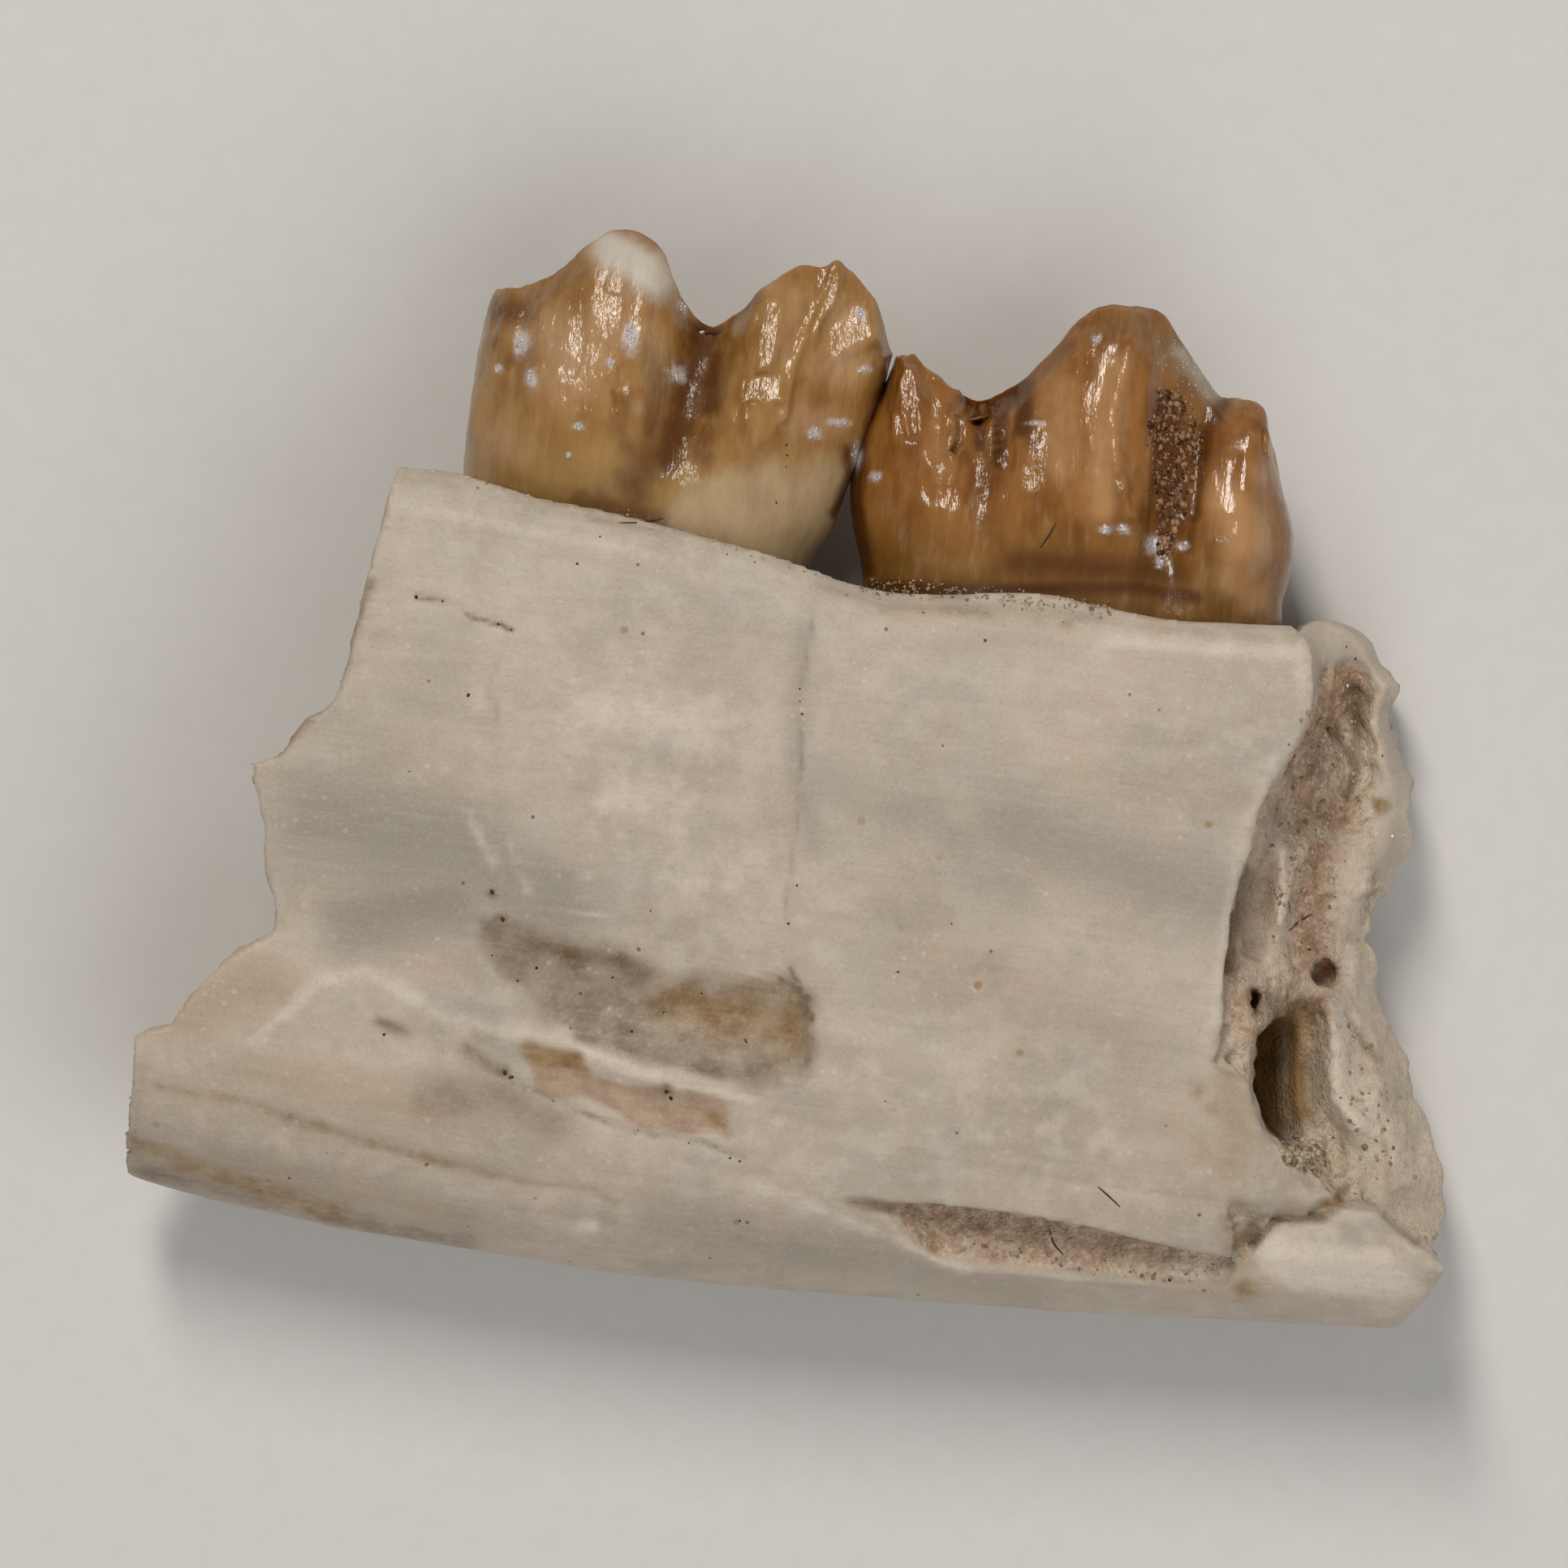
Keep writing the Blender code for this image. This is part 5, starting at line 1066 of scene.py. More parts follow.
def stain_bone(bone):
    """Paints where soil, iron and minerals have coloured the bone. It also paints shade under the slot's lip,
    in the hollow, canals and pits, and highlights on crests and rims.
    """
    places, normals = places_of(bone), normals_of(bone)
    x, y, z = places.T
    wavering = 0.12 * rough(places, 0.5, 97)
    inside = distance_from_skin(places)
    skin = smooth_step(0.22, 0.08, inside)
    dense = plates(x, y) * (x > 6) * smooth_step(1.5, 2.5, z)
    seen = smooth_step(-0.2, 0.2, normals[:, 2])
    hollow = inside_of(HOLLOW_STAIN, x + wavering, y + wavering, 0.4)
    brown = np.maximum(brushed(BROWN_STAIN_AND_SHADE, x, y), 0.66 * hollow) * skin
    brown = np.maximum(brown, brushed(BREAK_STAIN, x, y) * (1 - skin))
    under = 0.45 * smooth_step(-0.1, 0.6, grain(places, (2.5, 1.4, 2.0), 101))
    paint(bone, "brown_stain_and_shade", np.where(seen > 0.5, brown, under))
    stains = (("grey_stain", GREY_STAIN, 0.1, 103), ("warm_stain", WARM_STAIN, 0.0, 105))
    for name, strokes, low, seed in stains:
        unseen = (1 - seen) * smooth_step(low, 0.7, grain(places, (3, 2, 2), seed))
        paint(bone, name, brushed(strokes, x, y) * seen + unseen)
    gash = inside_of(GASH_STAIN, x + 0.5 * wavering, y + 0.5 * wavering, 0.22)
    paint(bone, "rosy_floor", gash * seen * skin)
    paint(bone, "ochre_stain", brushed(OCHRE_STAIN, x, y) * seen)
    paint(bone, "pale_bloom_and_highlight", brushed(PALE_BLOOM_AND_HIGHLIGHT, x, y) * seen)
    paint(bone, "hairline", brushed(HAIRLINE, x, y) * seen * skin)
    paint(bone, "spongy", (1 - skin) * (1 - dense) * (1 - 0.6 * calm(x, y)))
    paint(bone, "brown_sponge", np.where(x > 6, brushed(BROWN_SPONGE, x, y), 0.6))
    paint(bone, "amber", brushed(AMBER, x, y))
    # The canal's own dark colour, darkened with depth as painted shade; the tunnel term is painted shade deep
    # inside the canals.
    deep = brushed(DARK_HOLLOW, x, y) * smooth_step(0.5, 1.1, inside) * smooth_step(4.2, 3.4, z)
    tunnel_shade = smooth_step(1.3, 2.1, inside) * smooth_step(8.3, 7.8, np.abs(x)) * smooth_step(-3.0, -3.6, y)
    pins = brushed(PIN_HOLES, x, y) * smooth_step(0.3, 0.6, inside)
    paint(bone, "dark_hollow_and_shade", np.max([deep, tunnel_shade, pins], axis=0))
    paint(bone, "rusty_hole", pins)
    # Painted shade in the pits and painted highlight on the crests, both read from the surface's curvature.
    paint(bone, "pits", smooth_step(0.02, 0.09, hollowness(bone, 10)))
    paint(bone, "crest_highlight", smooth_step(0.012, 0.05, -hollowness(bone, 6)))


def stain_tooth(piece, tooth, dark, pale, rosy, grey, root_line, crinkled):
    """Paints a tooth's dark valleys, partly stain and partly painted shade, its chipped tip, rosy and grey
    enamel and bare root.
    """
    places, normals = places_of(piece), normals_of(piece)
    x, y, z = places.T
    tongue = smooth_step(-0.15, 0.25, normals[:, 2] + 0.2 * (z > tooth["middle"]))
    neck = line(tooth["neck"])(x)
    height = (y - neck) / 3.5
    # On the cheek side the dark mask is random grain and painted shade in the pits.
    pits = smooth_step(0.015, 0.07, hollowness(piece, 8))
    cheek_dark = np.maximum(0.6 * smooth_step(0.0, 0.7, grain(places, (0.9, 1.6, 1.0), 107)), 0.7 * pits)
    paint(piece, "dark_valley_and_shade", brushed(dark, x, y) * tongue + cheek_dark * (1 - tongue))
    paint(piece, "pale_chip", brushed(pale, x, y) * np.maximum(tongue, smooth_step(0.7, 0.9, height)))
    paint(piece, "rosy_enamel", brushed(rosy, x, y) * tongue + 0.5 * (1 - tongue))
    paint(piece, "grey_enamel", brushed(grey, x, y) * tongue)
    paint(piece, "bare_root", smooth_step(0.3, -0.3, y - line(root_line)(x) + 0.1 * rough(places, 0.6, 109)))
    paint(piece, "crinkled", brushed(crinkled, x, y) * tongue + 0.4 * (1 - tongue))
    paint(piece, "crown_height", height)
    dusty = [np.exp(-(((x - at_x) / wide) ** 2) - ((y - at_y) / high) ** 2)
             for at_x, at_y, wide, high in WHITE_SPECKS]
    paint(piece, "chalky_dust", np.max(dusty, axis=0) * tongue)


# Loose matter.
WHITE_SPECKS = [
    (-4.15, 6.99, 0.14, 0.24), (-4.0, 6.4, 0.1, 0.16), (-4.53, 6.58, 0.08, 0.08), (-2.42, 7.05, 0.13, 0.28),
    (-2.75, 6.65, 0.07, 0.07), (-1.7, 6.49, 0.15, 0.14), (-1.61, 7.57, 0.08, 0.12), (-1.29, 7.17, 0.05, 0.05),
    (-3.23, 5.64, 0.09, 0.07), (0.87, 5.73, 0.2, 0.06), (0.48, 5.55, 0.13, 0.09), (1.27, 6.58, 0.13, 0.05),
    (1.22, 7.44, 0.1, 0.1), (1.45, 4.87, 0.1, 0.09), (1.16, 5.2, 0.07, 0.22), (5.07, 4.02, 0.1, 0.07),
    (5.36, 4.02, 0.1, 0.08), (5.89, 3.78, 0.2, 0.16), (6.3, 3.76, 0.1, 0.08), (3.98, 5.71, 0.14, 0.04),
    (5.95, 3.5, 0.07, 0.12), (-3.4, 5.2, 0.04, 0.04), (4.95, 7.05, 0.06, 0.1),
]
GROOVE_BED = [
    (5.9, 6.3), (6.3, 6.15), (6.6, 5.75), (6.62, 5.25), (6.42, 4.7), (6.27, 4.1), (6.12, 3.6), (5.95, 3.6),
    (5.9, 4.2), (5.85, 4.9), (5.78, 5.5),
]
FACET_BED = [(5.7, 7.0), (6.2, 7.1), (6.9, 6.15), (6.5, 6.0), (6.1, 6.3)]
DARK_SPECKS = [
    (1.8, -2.96, 0.04), (2.64, -2.2, 0.03), (-0.46, 3.5, 0.035), (3.17, 2.26, 0.045), (-3.26, 3.47, 0.04),
    (-4.97, 1.4, 0.05), (-4.6, -1.7, 0.06), (-4.43, -2.13, 0.09), (-1.85, -4.85, 0.08), (-1.78, -4.95, 0.06),
    (-4.4, -4.55, 0.07), (-4.3, -4.62, 0.05), (-0.7, -5.95, 0.05), (-0.85, -5.9, 0.03), (-1.5, -5.66, 0.025),
    (-2.3, -5.46, 0.03), (-3.64, -5.0, 0.025), (0.25, 1.5, 0.03), (0.25, 1.3, 0.03), (0.28, 1.1, 0.03),
    (0.2, -1.6, 0.03), (0.07, -2.2, 0.03), (9.09, 1.99, 0.04), (8.94, 2.18, 0.03), (9.52, 0.45, 0.04),
    (8.17, -0.19, 0.04), (7.96, -0.92, 0.035), (7.77, -1.69, 0.035), (8.34, -2.63, 0.05), (8.22, -2.52, 0.03),
    (-6.3, -3.95, 0.05), (-5.8, 2.95, 0.05), (-5.38, 2.88, 0.04), (-4.5, 2.52, 0.05), (-4.3, 2.43, 0.04),
    (-0.9, 3.62, 0.03), (-2.9, 3.9, 0.035), (4.4, 2.55, 0.035), (2.2, 2.7, 0.03), (6.8, -7.6, 0.04),
    (5.1, -7.5, 0.03), (6.1, -7.85, 0.04), (-0.7, -6.9, 0.04), (-2.1, -2.0, 0.03), (2.5, 0.6, 0.03),
    (-3.9, -2.9, 0.04), (-3.2, -3.3, 0.045), (-2.7, -3.05, 0.03), (-1.9, -3.6, 0.04), (-2.4, -3.9, 0.035),
    (-0.6, -4.05, 0.05), (0.02, 5.55, 0.02), (0.04, 5.36, 0.03), (0.05, 5.2, 0.03), (0.03, 5.02, 0.025),
    (0.0, 4.85, 0.015), (-0.12, 4.45, 0.028), (-1.3, -3.3, 0.03), (0.1, -3.9, 0.03), (-4.6, -2.7, 0.04),
    (-4.2, -3.1, 0.03), (1.6, -5.0, 0.03), (-5.9, 0.2, 0.035),
]
SPARKLES = [
    (8.96, 1.56, 0.035), (9.67, -0.83, 0.03), (9.88, -0.81, 0.025), (8.5, -5.75, 0.03), (8.62, -5.82, 0.025),
    (9.0, 1.3, 0.02),
]
# Fibres as points that lie on the surface below them.
FIBRES = [
    [(4.95, -6.35), (5.1, -6.48), (5.3, -6.67)], [(4.05, 3.73), (4.2, 3.95), (4.3, 4.12)],
    [(4.2, -7.05), (4.27, -7.27), (4.42, -7.45)], [(-2.6, 4.12), (-2.25, 4.13), (-1.9, 4.2)],
    [(8.0, -2.34), (8.18, -2.18), (8.39, -2.06)],
]
CRUMB_BEDS = [
    # outline, number, smallest and largest radius
    ([(1.2, 3.3), (3.0, 3.1), (5.2, 2.85), (5.2, 2.65), (3.0, 2.9), (1.2, 3.0)], 260, 0.012, 0.035),
    ([(-5.1, 4.95), (-2.0, 4.15), (0.6, 3.4), (0.6, 3.25), (-2.0, 4.0), (-5.1, 4.8)], 40, 0.015, 0.03),
    ([(7.85, -5.7), (8.3, -5.6), (8.6, -5.9), (8.4, -6.2), (7.95, -6.0)], 110, 0.02, 0.07),
    ([(8.0, 1.0), (9.1, 1.4), (9.2, -0.4), (8.6, -2.8), (7.6, -3.8), (7.6, -1.0)], 170, 0.02, 0.05),
    ([(2.6, -7.2), (6.8, -7.8), (6.8, -8.0), (3.6, -7.6)], 60, 0.015, 0.035),
    ([(8.7, -3.5), (9.6, -4.2), (10.1, -6.2), (9.3, -6.3), (8.9, -5.2)], 70, 0.02, 0.05),
]
REST_HEIGHT = 20.0


def surface_below(trees, x, y):
    """The highest of the pieces' surfaces at this place, with its normal."""
    found = [tree.ray_cast(Vector((x, y, REST_HEIGHT)), Vector((0, 0, -1))) for tree in trees]
    hits = [(hit[0], hit[1]) for hit in found if hit[0] is not None]
    return max(hits, key=lambda hit: hit[0].z) if hits else None


def scattered(outline, count, random):
    """Random places inside a closed outline."""
    xs, ys = zip(*outline)
    places = []
    while len(places) < count:
        x, y = random.uniform(min(xs), max(xs)), random.uniform(min(ys), max(ys))
        if inside_of(outline, np.array([x]), np.array([y]), 0.02)[0] > 0.5:
            places.append((x, y))
    return places


def grains(name, trees, spots, seed, flatness):
    """Angular grains from one small ball: each copy is squashed, turned and pressed into the surface."""
    random = np.random.default_rng(seed)
    bpy.ops.object.select_all(action="DESELECT")
    bpy.ops.mesh.primitive_ico_sphere_add(subdivisions=1, radius=1.0)
    first = named(name)
    ball = places_of(first)
    copies = []
    for x, y, radius in spots:
        hit = surface_below(trees, x, y)
        if hit is None:
            continue
        copy = first.copy()
        copy.data = first.data.copy()
        bpy.context.scene.collection.objects.link(copy)
        shape = ball * random.uniform(0.6, 1.25, (len(ball), 1)) * random.uniform(0.6, 1.3, 3) * radius
        shape[:, 2] *= flatness
        turn = np.array(hit[1].to_track_quat("Z", "Y").to_matrix()) @ turned(random.uniform(0, 6.3))
        move_to(copy, shape @ turn.T + np.array(hit[0]) + np.array(hit[1]) * radius * 0.25 * flatness)
        paint(copy, "shade", np.full(len(ball), random.uniform()))
        copies.append(copy)
    bpy.data.objects.remove(first)
    alone(copies[0])
    for copy in copies:
        copy.select_set(True)
    bpy.ops.object.join()
    joined = bpy.context.object
    joined.name = joined.data.name = name
    return joined


def turned(angle):
    """A turn about Z as a matrix."""
    cosine, sine = math.cos(angle), math.sin(angle)
    return np.array([[cosine, -sine, 0], [sine, cosine, 0], [0, 0, 1]])


def speck_spots(random):
    """Each dusty patch carries a few small flakes."""
    return [(x + random.normal() * wide * 0.4, y + random.normal() * high * 0.4, random.uniform(0.02, 0.055))
            for x, y, wide, high in WHITE_SPECKS for _ in range(int(4 + 200 * wide * high))]


def bed_spots(random, beds):
    return [(x + random.normal() * 0.04, y + random.normal() * 0.04, random.uniform(low, high))
            for outline, count, low, high in beds for x, y in scattered(outline, count, random)]


def fibre(trees, points, number):
    """A fine dark fibre that lies on the surface: a pulled-out ring, closed at both ends."""
    turns = np.arange(FIBRE_POINTS) * 2 * math.pi / FIBRE_POINTS
    track = [rounded(list(enumerate(column))) for column in zip(*points)]
    steps = np.linspace(0, len(points) - 1, FIBRE_RINGS)
    centres = []
    for step in steps:
        x, y = float(track[0](step)), float(track[1](step))
        hit = surface_below(trees, x, y)
        centres.append((x, y, hit[0].z + 0.01 if hit else centres[-1][2]))
    heights = np.convolve(np.pad([c[2] for c in centres], 2, mode="edge"), np.ones(5) / 5, mode="valid")

    def place_ring(i):
        before, after = centres[max(i - 1, 0)], centres[min(i + 1, FIBRE_RINGS - 1)]
        along = np.array([after[0] - before[0], after[1] - before[1]])
        side = np.array([-along[1], along[0]]) / np.hypot(*along)
        thick = FIBRE_RADIUS * math.sin(math.pi * (0.15 + 0.7 * i / (FIBRE_RINGS - 1)))
        (x, y, _), (side_x, side_y) = centres[i], side * thick
        return np.stack([x + side_x * np.cos(turns), y + side_y * np.cos(turns),
                         heights[i] + thick * np.sin(turns)], axis=1)

    return drawn_sphere(f"fibre_{number}", FIBRE_POINTS, FIBRE_RINGS, place_ring)


# Materials.
def linear(code):
    """An sRGB hex colour as linear red, green, blue and full alpha."""
    parts = [int(code[i:i + 2], 16) / 255 for i in (0, 2, 4)]
    return (*(p / 12.92 if p <= 0.04045 else ((p + 0.055) / 1.055) ** 2.4 for p in parts), 1.0)


def add(tree, kind, inputs=None, **settings):
    """Adds a node with its settings. An input is a value, or the output that feeds it."""
    node = tree.nodes.new("ShaderNode" + kind)
    for name, value in settings.items():
        setattr(node, name, value)
    for key, value in (inputs or {}).items():
        if isinstance(value, bpy.types.NodeSocket):
            tree.links.new(value, node.inputs[key])
        else:
            node.inputs[key].default_value = value
    return node


def mixed(tree, share, first, second):
    return add(tree, "Mix", {0: share, 6: first, 7: second}, data_type="RGBA").outputs[2]


def mask(tree, name):
    return add(tree, "Attribute", attribute_name=name).outputs["Fac"]


def laid(tree, where, size_mm, stretch, degrees):
    """Coordinates in lumps of a real size, stretched along X, Y and Z and then turned in the XY plane."""
    scale = tuple(size_mm * MM * s for s in stretch)
    return add(tree, "Mapping", {"Vector": where, "Rotation": (0, 0, math.radians(degrees)), "Scale": scale},
               vector_type="TEXTURE").outputs[0]


def pattern(tree, where, size_mm, detail=3.0, stretch=(1, 1, 1), degrees=0.0, roughness=0.6):
    at = laid(tree, where, size_mm, stretch, degrees)
    settings = {"Vector": at, "Scale": 1.0, "Detail": detail, "Roughness": roughness}
    return add(tree, "TexNoise", settings).outputs["Fac"]


def specks(tree, where, size_mm, reach):
    """Sparse round dots: 1 in a dot, 0 elsewhere. Only some of the cells have a dot."""
    at = laid(tree, where, size_mm, (1, 1, 1), 0)
    cells = add(tree, "TexVoronoi", {"Vector": at, "Scale": 1.0, "Randomness": 1.0})
    chosen = ramp(tree, add(tree, "SeparateColor", {0: cells.outputs["Color"]}).outputs[0], 0.7, 0.75)
    return maths(tree, "MULTIPLY", ramp(tree, cells.outputs["Distance"], reach, reach * 0.5), chosen)


def ramp(tree, value, low, high, to_low=0.0, to_high=1.0):
    limits = {"Value": value, "From Min": low, "From Max": high, "To Min": to_low, "To Max": to_high}
    return add(tree, "MapRange", limits, interpolation_type="SMOOTHSTEP").outputs[0]


def maths(tree, operation, a, b=0.0, c=0.0):
    return add(tree, "Math", {0: a, 1: b, 2: c}, operation=operation).outputs[0]


def broken_up(tree, stain, noise, ragged):
    """Gives a painted mask a ragged, grainy edge."""
    shifted = maths(tree, "MULTIPLY_ADD", maths(tree, "SUBTRACT", noise, 0.5), ragged, stain)
    return maths(tree, "MULTIPLY", ramp(tree, shifted, 0.05, 0.95), ramp(tree, stain, 0.0, 0.15))


def clouded(tree, colour, tints):
    """Tints a colour by noise: each tint is a noise, its two limits, a strength and a hex colour."""
    for noise, low, high, strength, code in tints:
        colour = mixed(tree, ramp(tree, noise, low, high, 0.0, strength), colour, linear(code))
    return colour


def stained(tree, colour, noise, name, ragged, strength, stain):
    """Lays a painted stain over a colour, with an edge that the noise makes ragged."""
    share = maths(tree, "MULTIPLY", broken_up(tree, mask(tree, name), noise, ragged), strength)
    return mixed(tree, share, colour, stain)


def new_material(name):
    material = bpy.data.materials.new(name)
    material.use_nodes = True
    tree = material.node_tree
    where = add(tree, "TexCoord").outputs["Object"]
    return material, tree, tree.nodes["Principled BSDF"], where


def fossil_bone():
    """Permineralised bone, cleaned by hand: chalky and close-grained, so the gloss is low and light spreads
    a little way in."""
    material, tree, shader, where = new_material("permineralised_bone")
    fibres = pattern(tree, where, 0.14, 3, (14, 1, 1), -7)
    clouds = pattern(tree, where, 2.2, 4, (1.5, 1, 1), -8)
    mottle = pattern(tree, where, 0.45, 4)
    tint = pattern(tree, where, 1.1, 3)
    dust = pattern(tree, where, 0.06, 3)
    colour = mixed(tree, ramp(tree, clouds, 0.35, 0.65), linear("bcac99"), linear("aa9d8c"))
    colour = clouded(tree, colour, [(tint, 0.48, 0.72, 0.5, "bda594"), (tint, 0.5, 0.25, 0.4, "aaa89c"),
                                    (mottle, 0.4, 0.68, 0.35, "d2c6b6")])
    # The pale bloom also carries painted highlights along the ridge crests and the upper rim.
    stains = (("grey_stain", 0.6, 0.8, "8b857a"), ("warm_stain", 0.5, 0.7, "a18768"),
              ("pale_bloom_and_highlight", 0.9, 0.7, "dacdbd"))
    for name, ragged, strength, code in stains:
        colour = stained(tree, colour, mottle, name, ragged, strength, linear(code))
    sponge = mixed(tree, mask(tree, "brown_sponge"), linear("d8c6ad"), linear("b08866"))
    crumbly = pattern(tree, where, 0.13, 4, (1, 1, 1), 0, 0.7)
    sponge = clouded(tree, sponge, [(mottle, 0.45, 0.7, 0.55, "8b6848"), (mottle, 0.5, 0.3, 0.4, "dccfbd"),
                                    (crumbly, 0.52, 0.66, 0.6, "7a5738"),
                                    (crumbly, 0.47, 0.36, 0.5, "e6d8c4")])
    colour = mixed(tree, maths(tree, "MULTIPLY", mask(tree, "spongy"), 0.9), colour, sponge)
    rosy = mixed(tree, ramp(tree, mottle, 0.35, 0.65), linear("94765c"), linear("ab8d73"))
    colour = stained(tree, colour, mottle, "rosy_floor", 0.4, 0.8, rosy)
    # Brown stain, with painted shade along the hollow's upper bank, under the slot's lip and along the
    # lower-left border.
    brown = mixed(tree, ramp(tree, mottle, 0.35, 0.7), linear("86755f"), linear("6a5238"))
    colour = mixed(tree, broken_up(tree, mask(tree, "brown_stain_and_shade"), mottle, 0.5), colour, brown)
    ochre = mixed(tree, ramp(tree, mottle, 0.35, 0.65), linear("a88a5e"), linear("8a6636"))
    colour = stained(tree, colour, mottle, "ochre_stain", 0.7, 0.8, ochre)
    colour = clouded(tree, colour, [(fibres, 0.5, 0.72, 0.1, "8f8373"), (fibres, 0.5, 0.28, 0.12, "cabfad"),
                                    (dust, 0.52, 0.75, 0.22, "87755d"), (dust, 0.48, 0.25, 0.16, "dbcfbb")])
    # Painted highlight on the crests and painted shade in the pits.
    colour = mixed(tree, maths(tree, "MULTIPLY", mask(tree, "crest_highlight"), 0.2), colour, linear("d3c6b2"))
    colour = mixed(tree, maths(tree, "MULTIPLY", mask(tree, "pits"), 0.6), colour, linear("6b543b"))
    crack = maths(tree, "MULTIPLY", mask(tree, "hairline"), ramp(tree, mottle, 0.42, 0.58, 0.1, 1.0))
    colour = mixed(tree, crack, colour, linear("5f574a"))
    pinpoints = maths(tree, "MULTIPLY", specks(tree, where, 0.55, 0.08), 0.75)
    colour = mixed(tree, pinpoints, colour, linear("4a3a28"))
    flecked = specks(tree, where, 0.16, 0.34)
    flecked = maths(tree, "MULTIPLY", flecked, ramp(tree, tint, 0.45, 0.62, 0.0, 0.22))
    colour = mixed(tree, flecked, colour, linear("e4dacb"))
    rusty = maths(tree, "MULTIPLY", specks(tree, where, 0.62, 0.14), ramp(tree, clouds, 0.5, 0.62, 0.1, 0.8))
    colour = mixed(tree, rusty, colour, linear("9a7748"))
    # The canal's dark colour, which also serves as painted shade deep in the canals and holes.
    canal = mixed(tree, ramp(tree, mottle, 0.3, 0.7), linear("3f2a04"), linear("5a3d10"))
    canal = mixed(tree, maths(tree, "MULTIPLY", mask(tree, "amber"), 0.9), canal, linear("8a673a"))
    canal = mixed(tree, mask(tree, "rusty_hole"), canal, linear("7d4314"))
    colour = mixed(tree, mask(tree, "dark_hollow_and_shade"), colour, canal)
    tree.links.new(colour, shader.inputs["Base Color"])
    tree.links.new(ramp(tree, mottle, 0.3, 0.7, 0.42, 0.6), shader.inputs["Roughness"])
    shader.inputs["IOR"].default_value = 1.52
    shader.inputs["Specular IOR Level"].default_value = 0.45
    shader.inputs["Subsurface Weight"].default_value = 0.15
    shader.inputs["Subsurface Radius"].default_value = (1.0, 0.6, 0.4)
    shader.inputs["Subsurface Scale"].default_value = 0.3 * MM
    fine = maths(tree, "MULTIPLY", dust, maths(tree, "MULTIPLY_ADD", mask(tree, "spongy"), 2.0, 0.35))
    height = maths(tree, "MULTIPLY_ADD", fibres, 0.25, fine)
    height = maths(tree, "ADD", height, maths(tree, "MULTIPLY", mottle, 0.5))
    bump = add(tree, "Bump", {"Height": height, "Strength": 1.0, "Distance": 0.03 * MM})
    tree.links.new(bump.outputs[0], shader.inputs["Normal"])
    return material


def fossil_enamel(name, fresh, deep, rosy, root_colour, base_colour):
    """Fossil tooth enamel, stained amber by iron: glassy and slightly see-through over darker dentine, with
    upright wrinkles."""
    material, tree, shader, where = new_material(name)
    streaks = pattern(tree, where, 0.16, 3, (1, 4.5, 3), -6)
    bands = pattern(tree, where, 0.6, 3, (1, 2.0, 1), -4)
    mottle = pattern(tree, where, 0.3, 4)
    dust = pattern(tree, where, 0.05, 3)
    colour = mixed(tree, ramp(tree, bands, 0.32, 0.68), linear(fresh), linear(deep))
    colour = clouded(tree, colour, [(mask(tree, "crown_height"), 0.5, 0.05, 0.7, base_colour)])
    colour = stained(tree, colour, mottle, "rosy_enamel", 0.5, 0.85, linear(rosy))
    colour = stained(tree, colour, mottle, "grey_enamel", 0.5, 0.75, linear("7a6448"))
    colour = clouded(tree, colour, [(streaks, 0.5, 0.75, 0.16, "6b4520"),
                                    (streaks, 0.5, 0.25, 0.2, "c3a07c")])
    roots = mixed(tree, ramp(tree, bands, 0.3, 0.7), linear(root_colour), linear("a58a66"))
    colour = mixed(tree, mask(tree, "bare_root"), colour, roots)
    # Dark valleys: the enamel's own stain, with painted shade in the valleys, between the teeth and in pits.
    dark = mixed(tree, bands, linear("421d00"), linear("603200"))
    colour = stained(tree, colour, mottle, "dark_valley_and_shade", 0.4, 0.9, dark)
    colour = mixed(tree, broken_up(tree, mask(tree, "pale_chip"), mottle, 0.5), colour, linear("c4b9aa"))
    colour = clouded(tree, colour, [(dust, 0.6, 0.8, 0.25, "4c3114")])
    chalk = broken_up(tree, mask(tree, "chalky_dust"), pattern(tree, where, 0.1, 4), 1.1)
    colour = mixed(tree, maths(tree, "MULTIPLY", chalk, 0.8), colour, linear("c8bfbd"))
    tree.links.new(colour, shader.inputs["Base Color"])
    dull = mask(tree, "bare_root")
    for other in (mask(tree, "pale_chip"), chalk, maths(tree, "MULTIPLY", mask(tree, "dark_valley_and_shade"), 0.35),
                  ramp(tree, mask(tree, "crown_height"), 0.5, 0.2, 0.0, 0.2)):
        dull = maths(tree, "MAXIMUM", dull, other)
    tree.links.new(ramp(tree, dull, 0.0, 1.0, 0.2, 0.5), shader.inputs["Roughness"])
    tree.links.new(ramp(tree, dull, 0.0, 1.0, 0.15, 0.0), shader.inputs["Coat Weight"])
    shader.inputs["IOR"].default_value = 1.6
    shader.inputs["Specular IOR Level"].default_value = 0.36
    shader.inputs["Subsurface Weight"].default_value = 0.2
    shader.inputs["Subsurface Radius"].default_value = (1.0, 0.5, 0.22)
    shader.inputs["Subsurface Scale"].default_value = 0.35 * MM
    shader.inputs["Coat Roughness"].default_value = 0.12
    crinkles = pattern(tree, where, 0.08, 2, (1, 2.6, 2), -6)
    height = maths(tree, "MULTIPLY_ADD", streaks, 0.8, maths(tree, "MULTIPLY", mottle, 0.5))
    height = maths(tree, "MULTIPLY_ADD", crinkles, maths(tree, "ADD", mask(tree, "crinkled"), 0.1), height)
    bump = add(tree, "Bump", {"Height": height, "Strength": 1.0, "Distance": 0.025 * MM})
    tree.links.new(bump.outputs[0], shader.inputs["Normal"])
    tree.links.new(bump.outputs[0], shader.inputs["Coat Normal"])
    return material


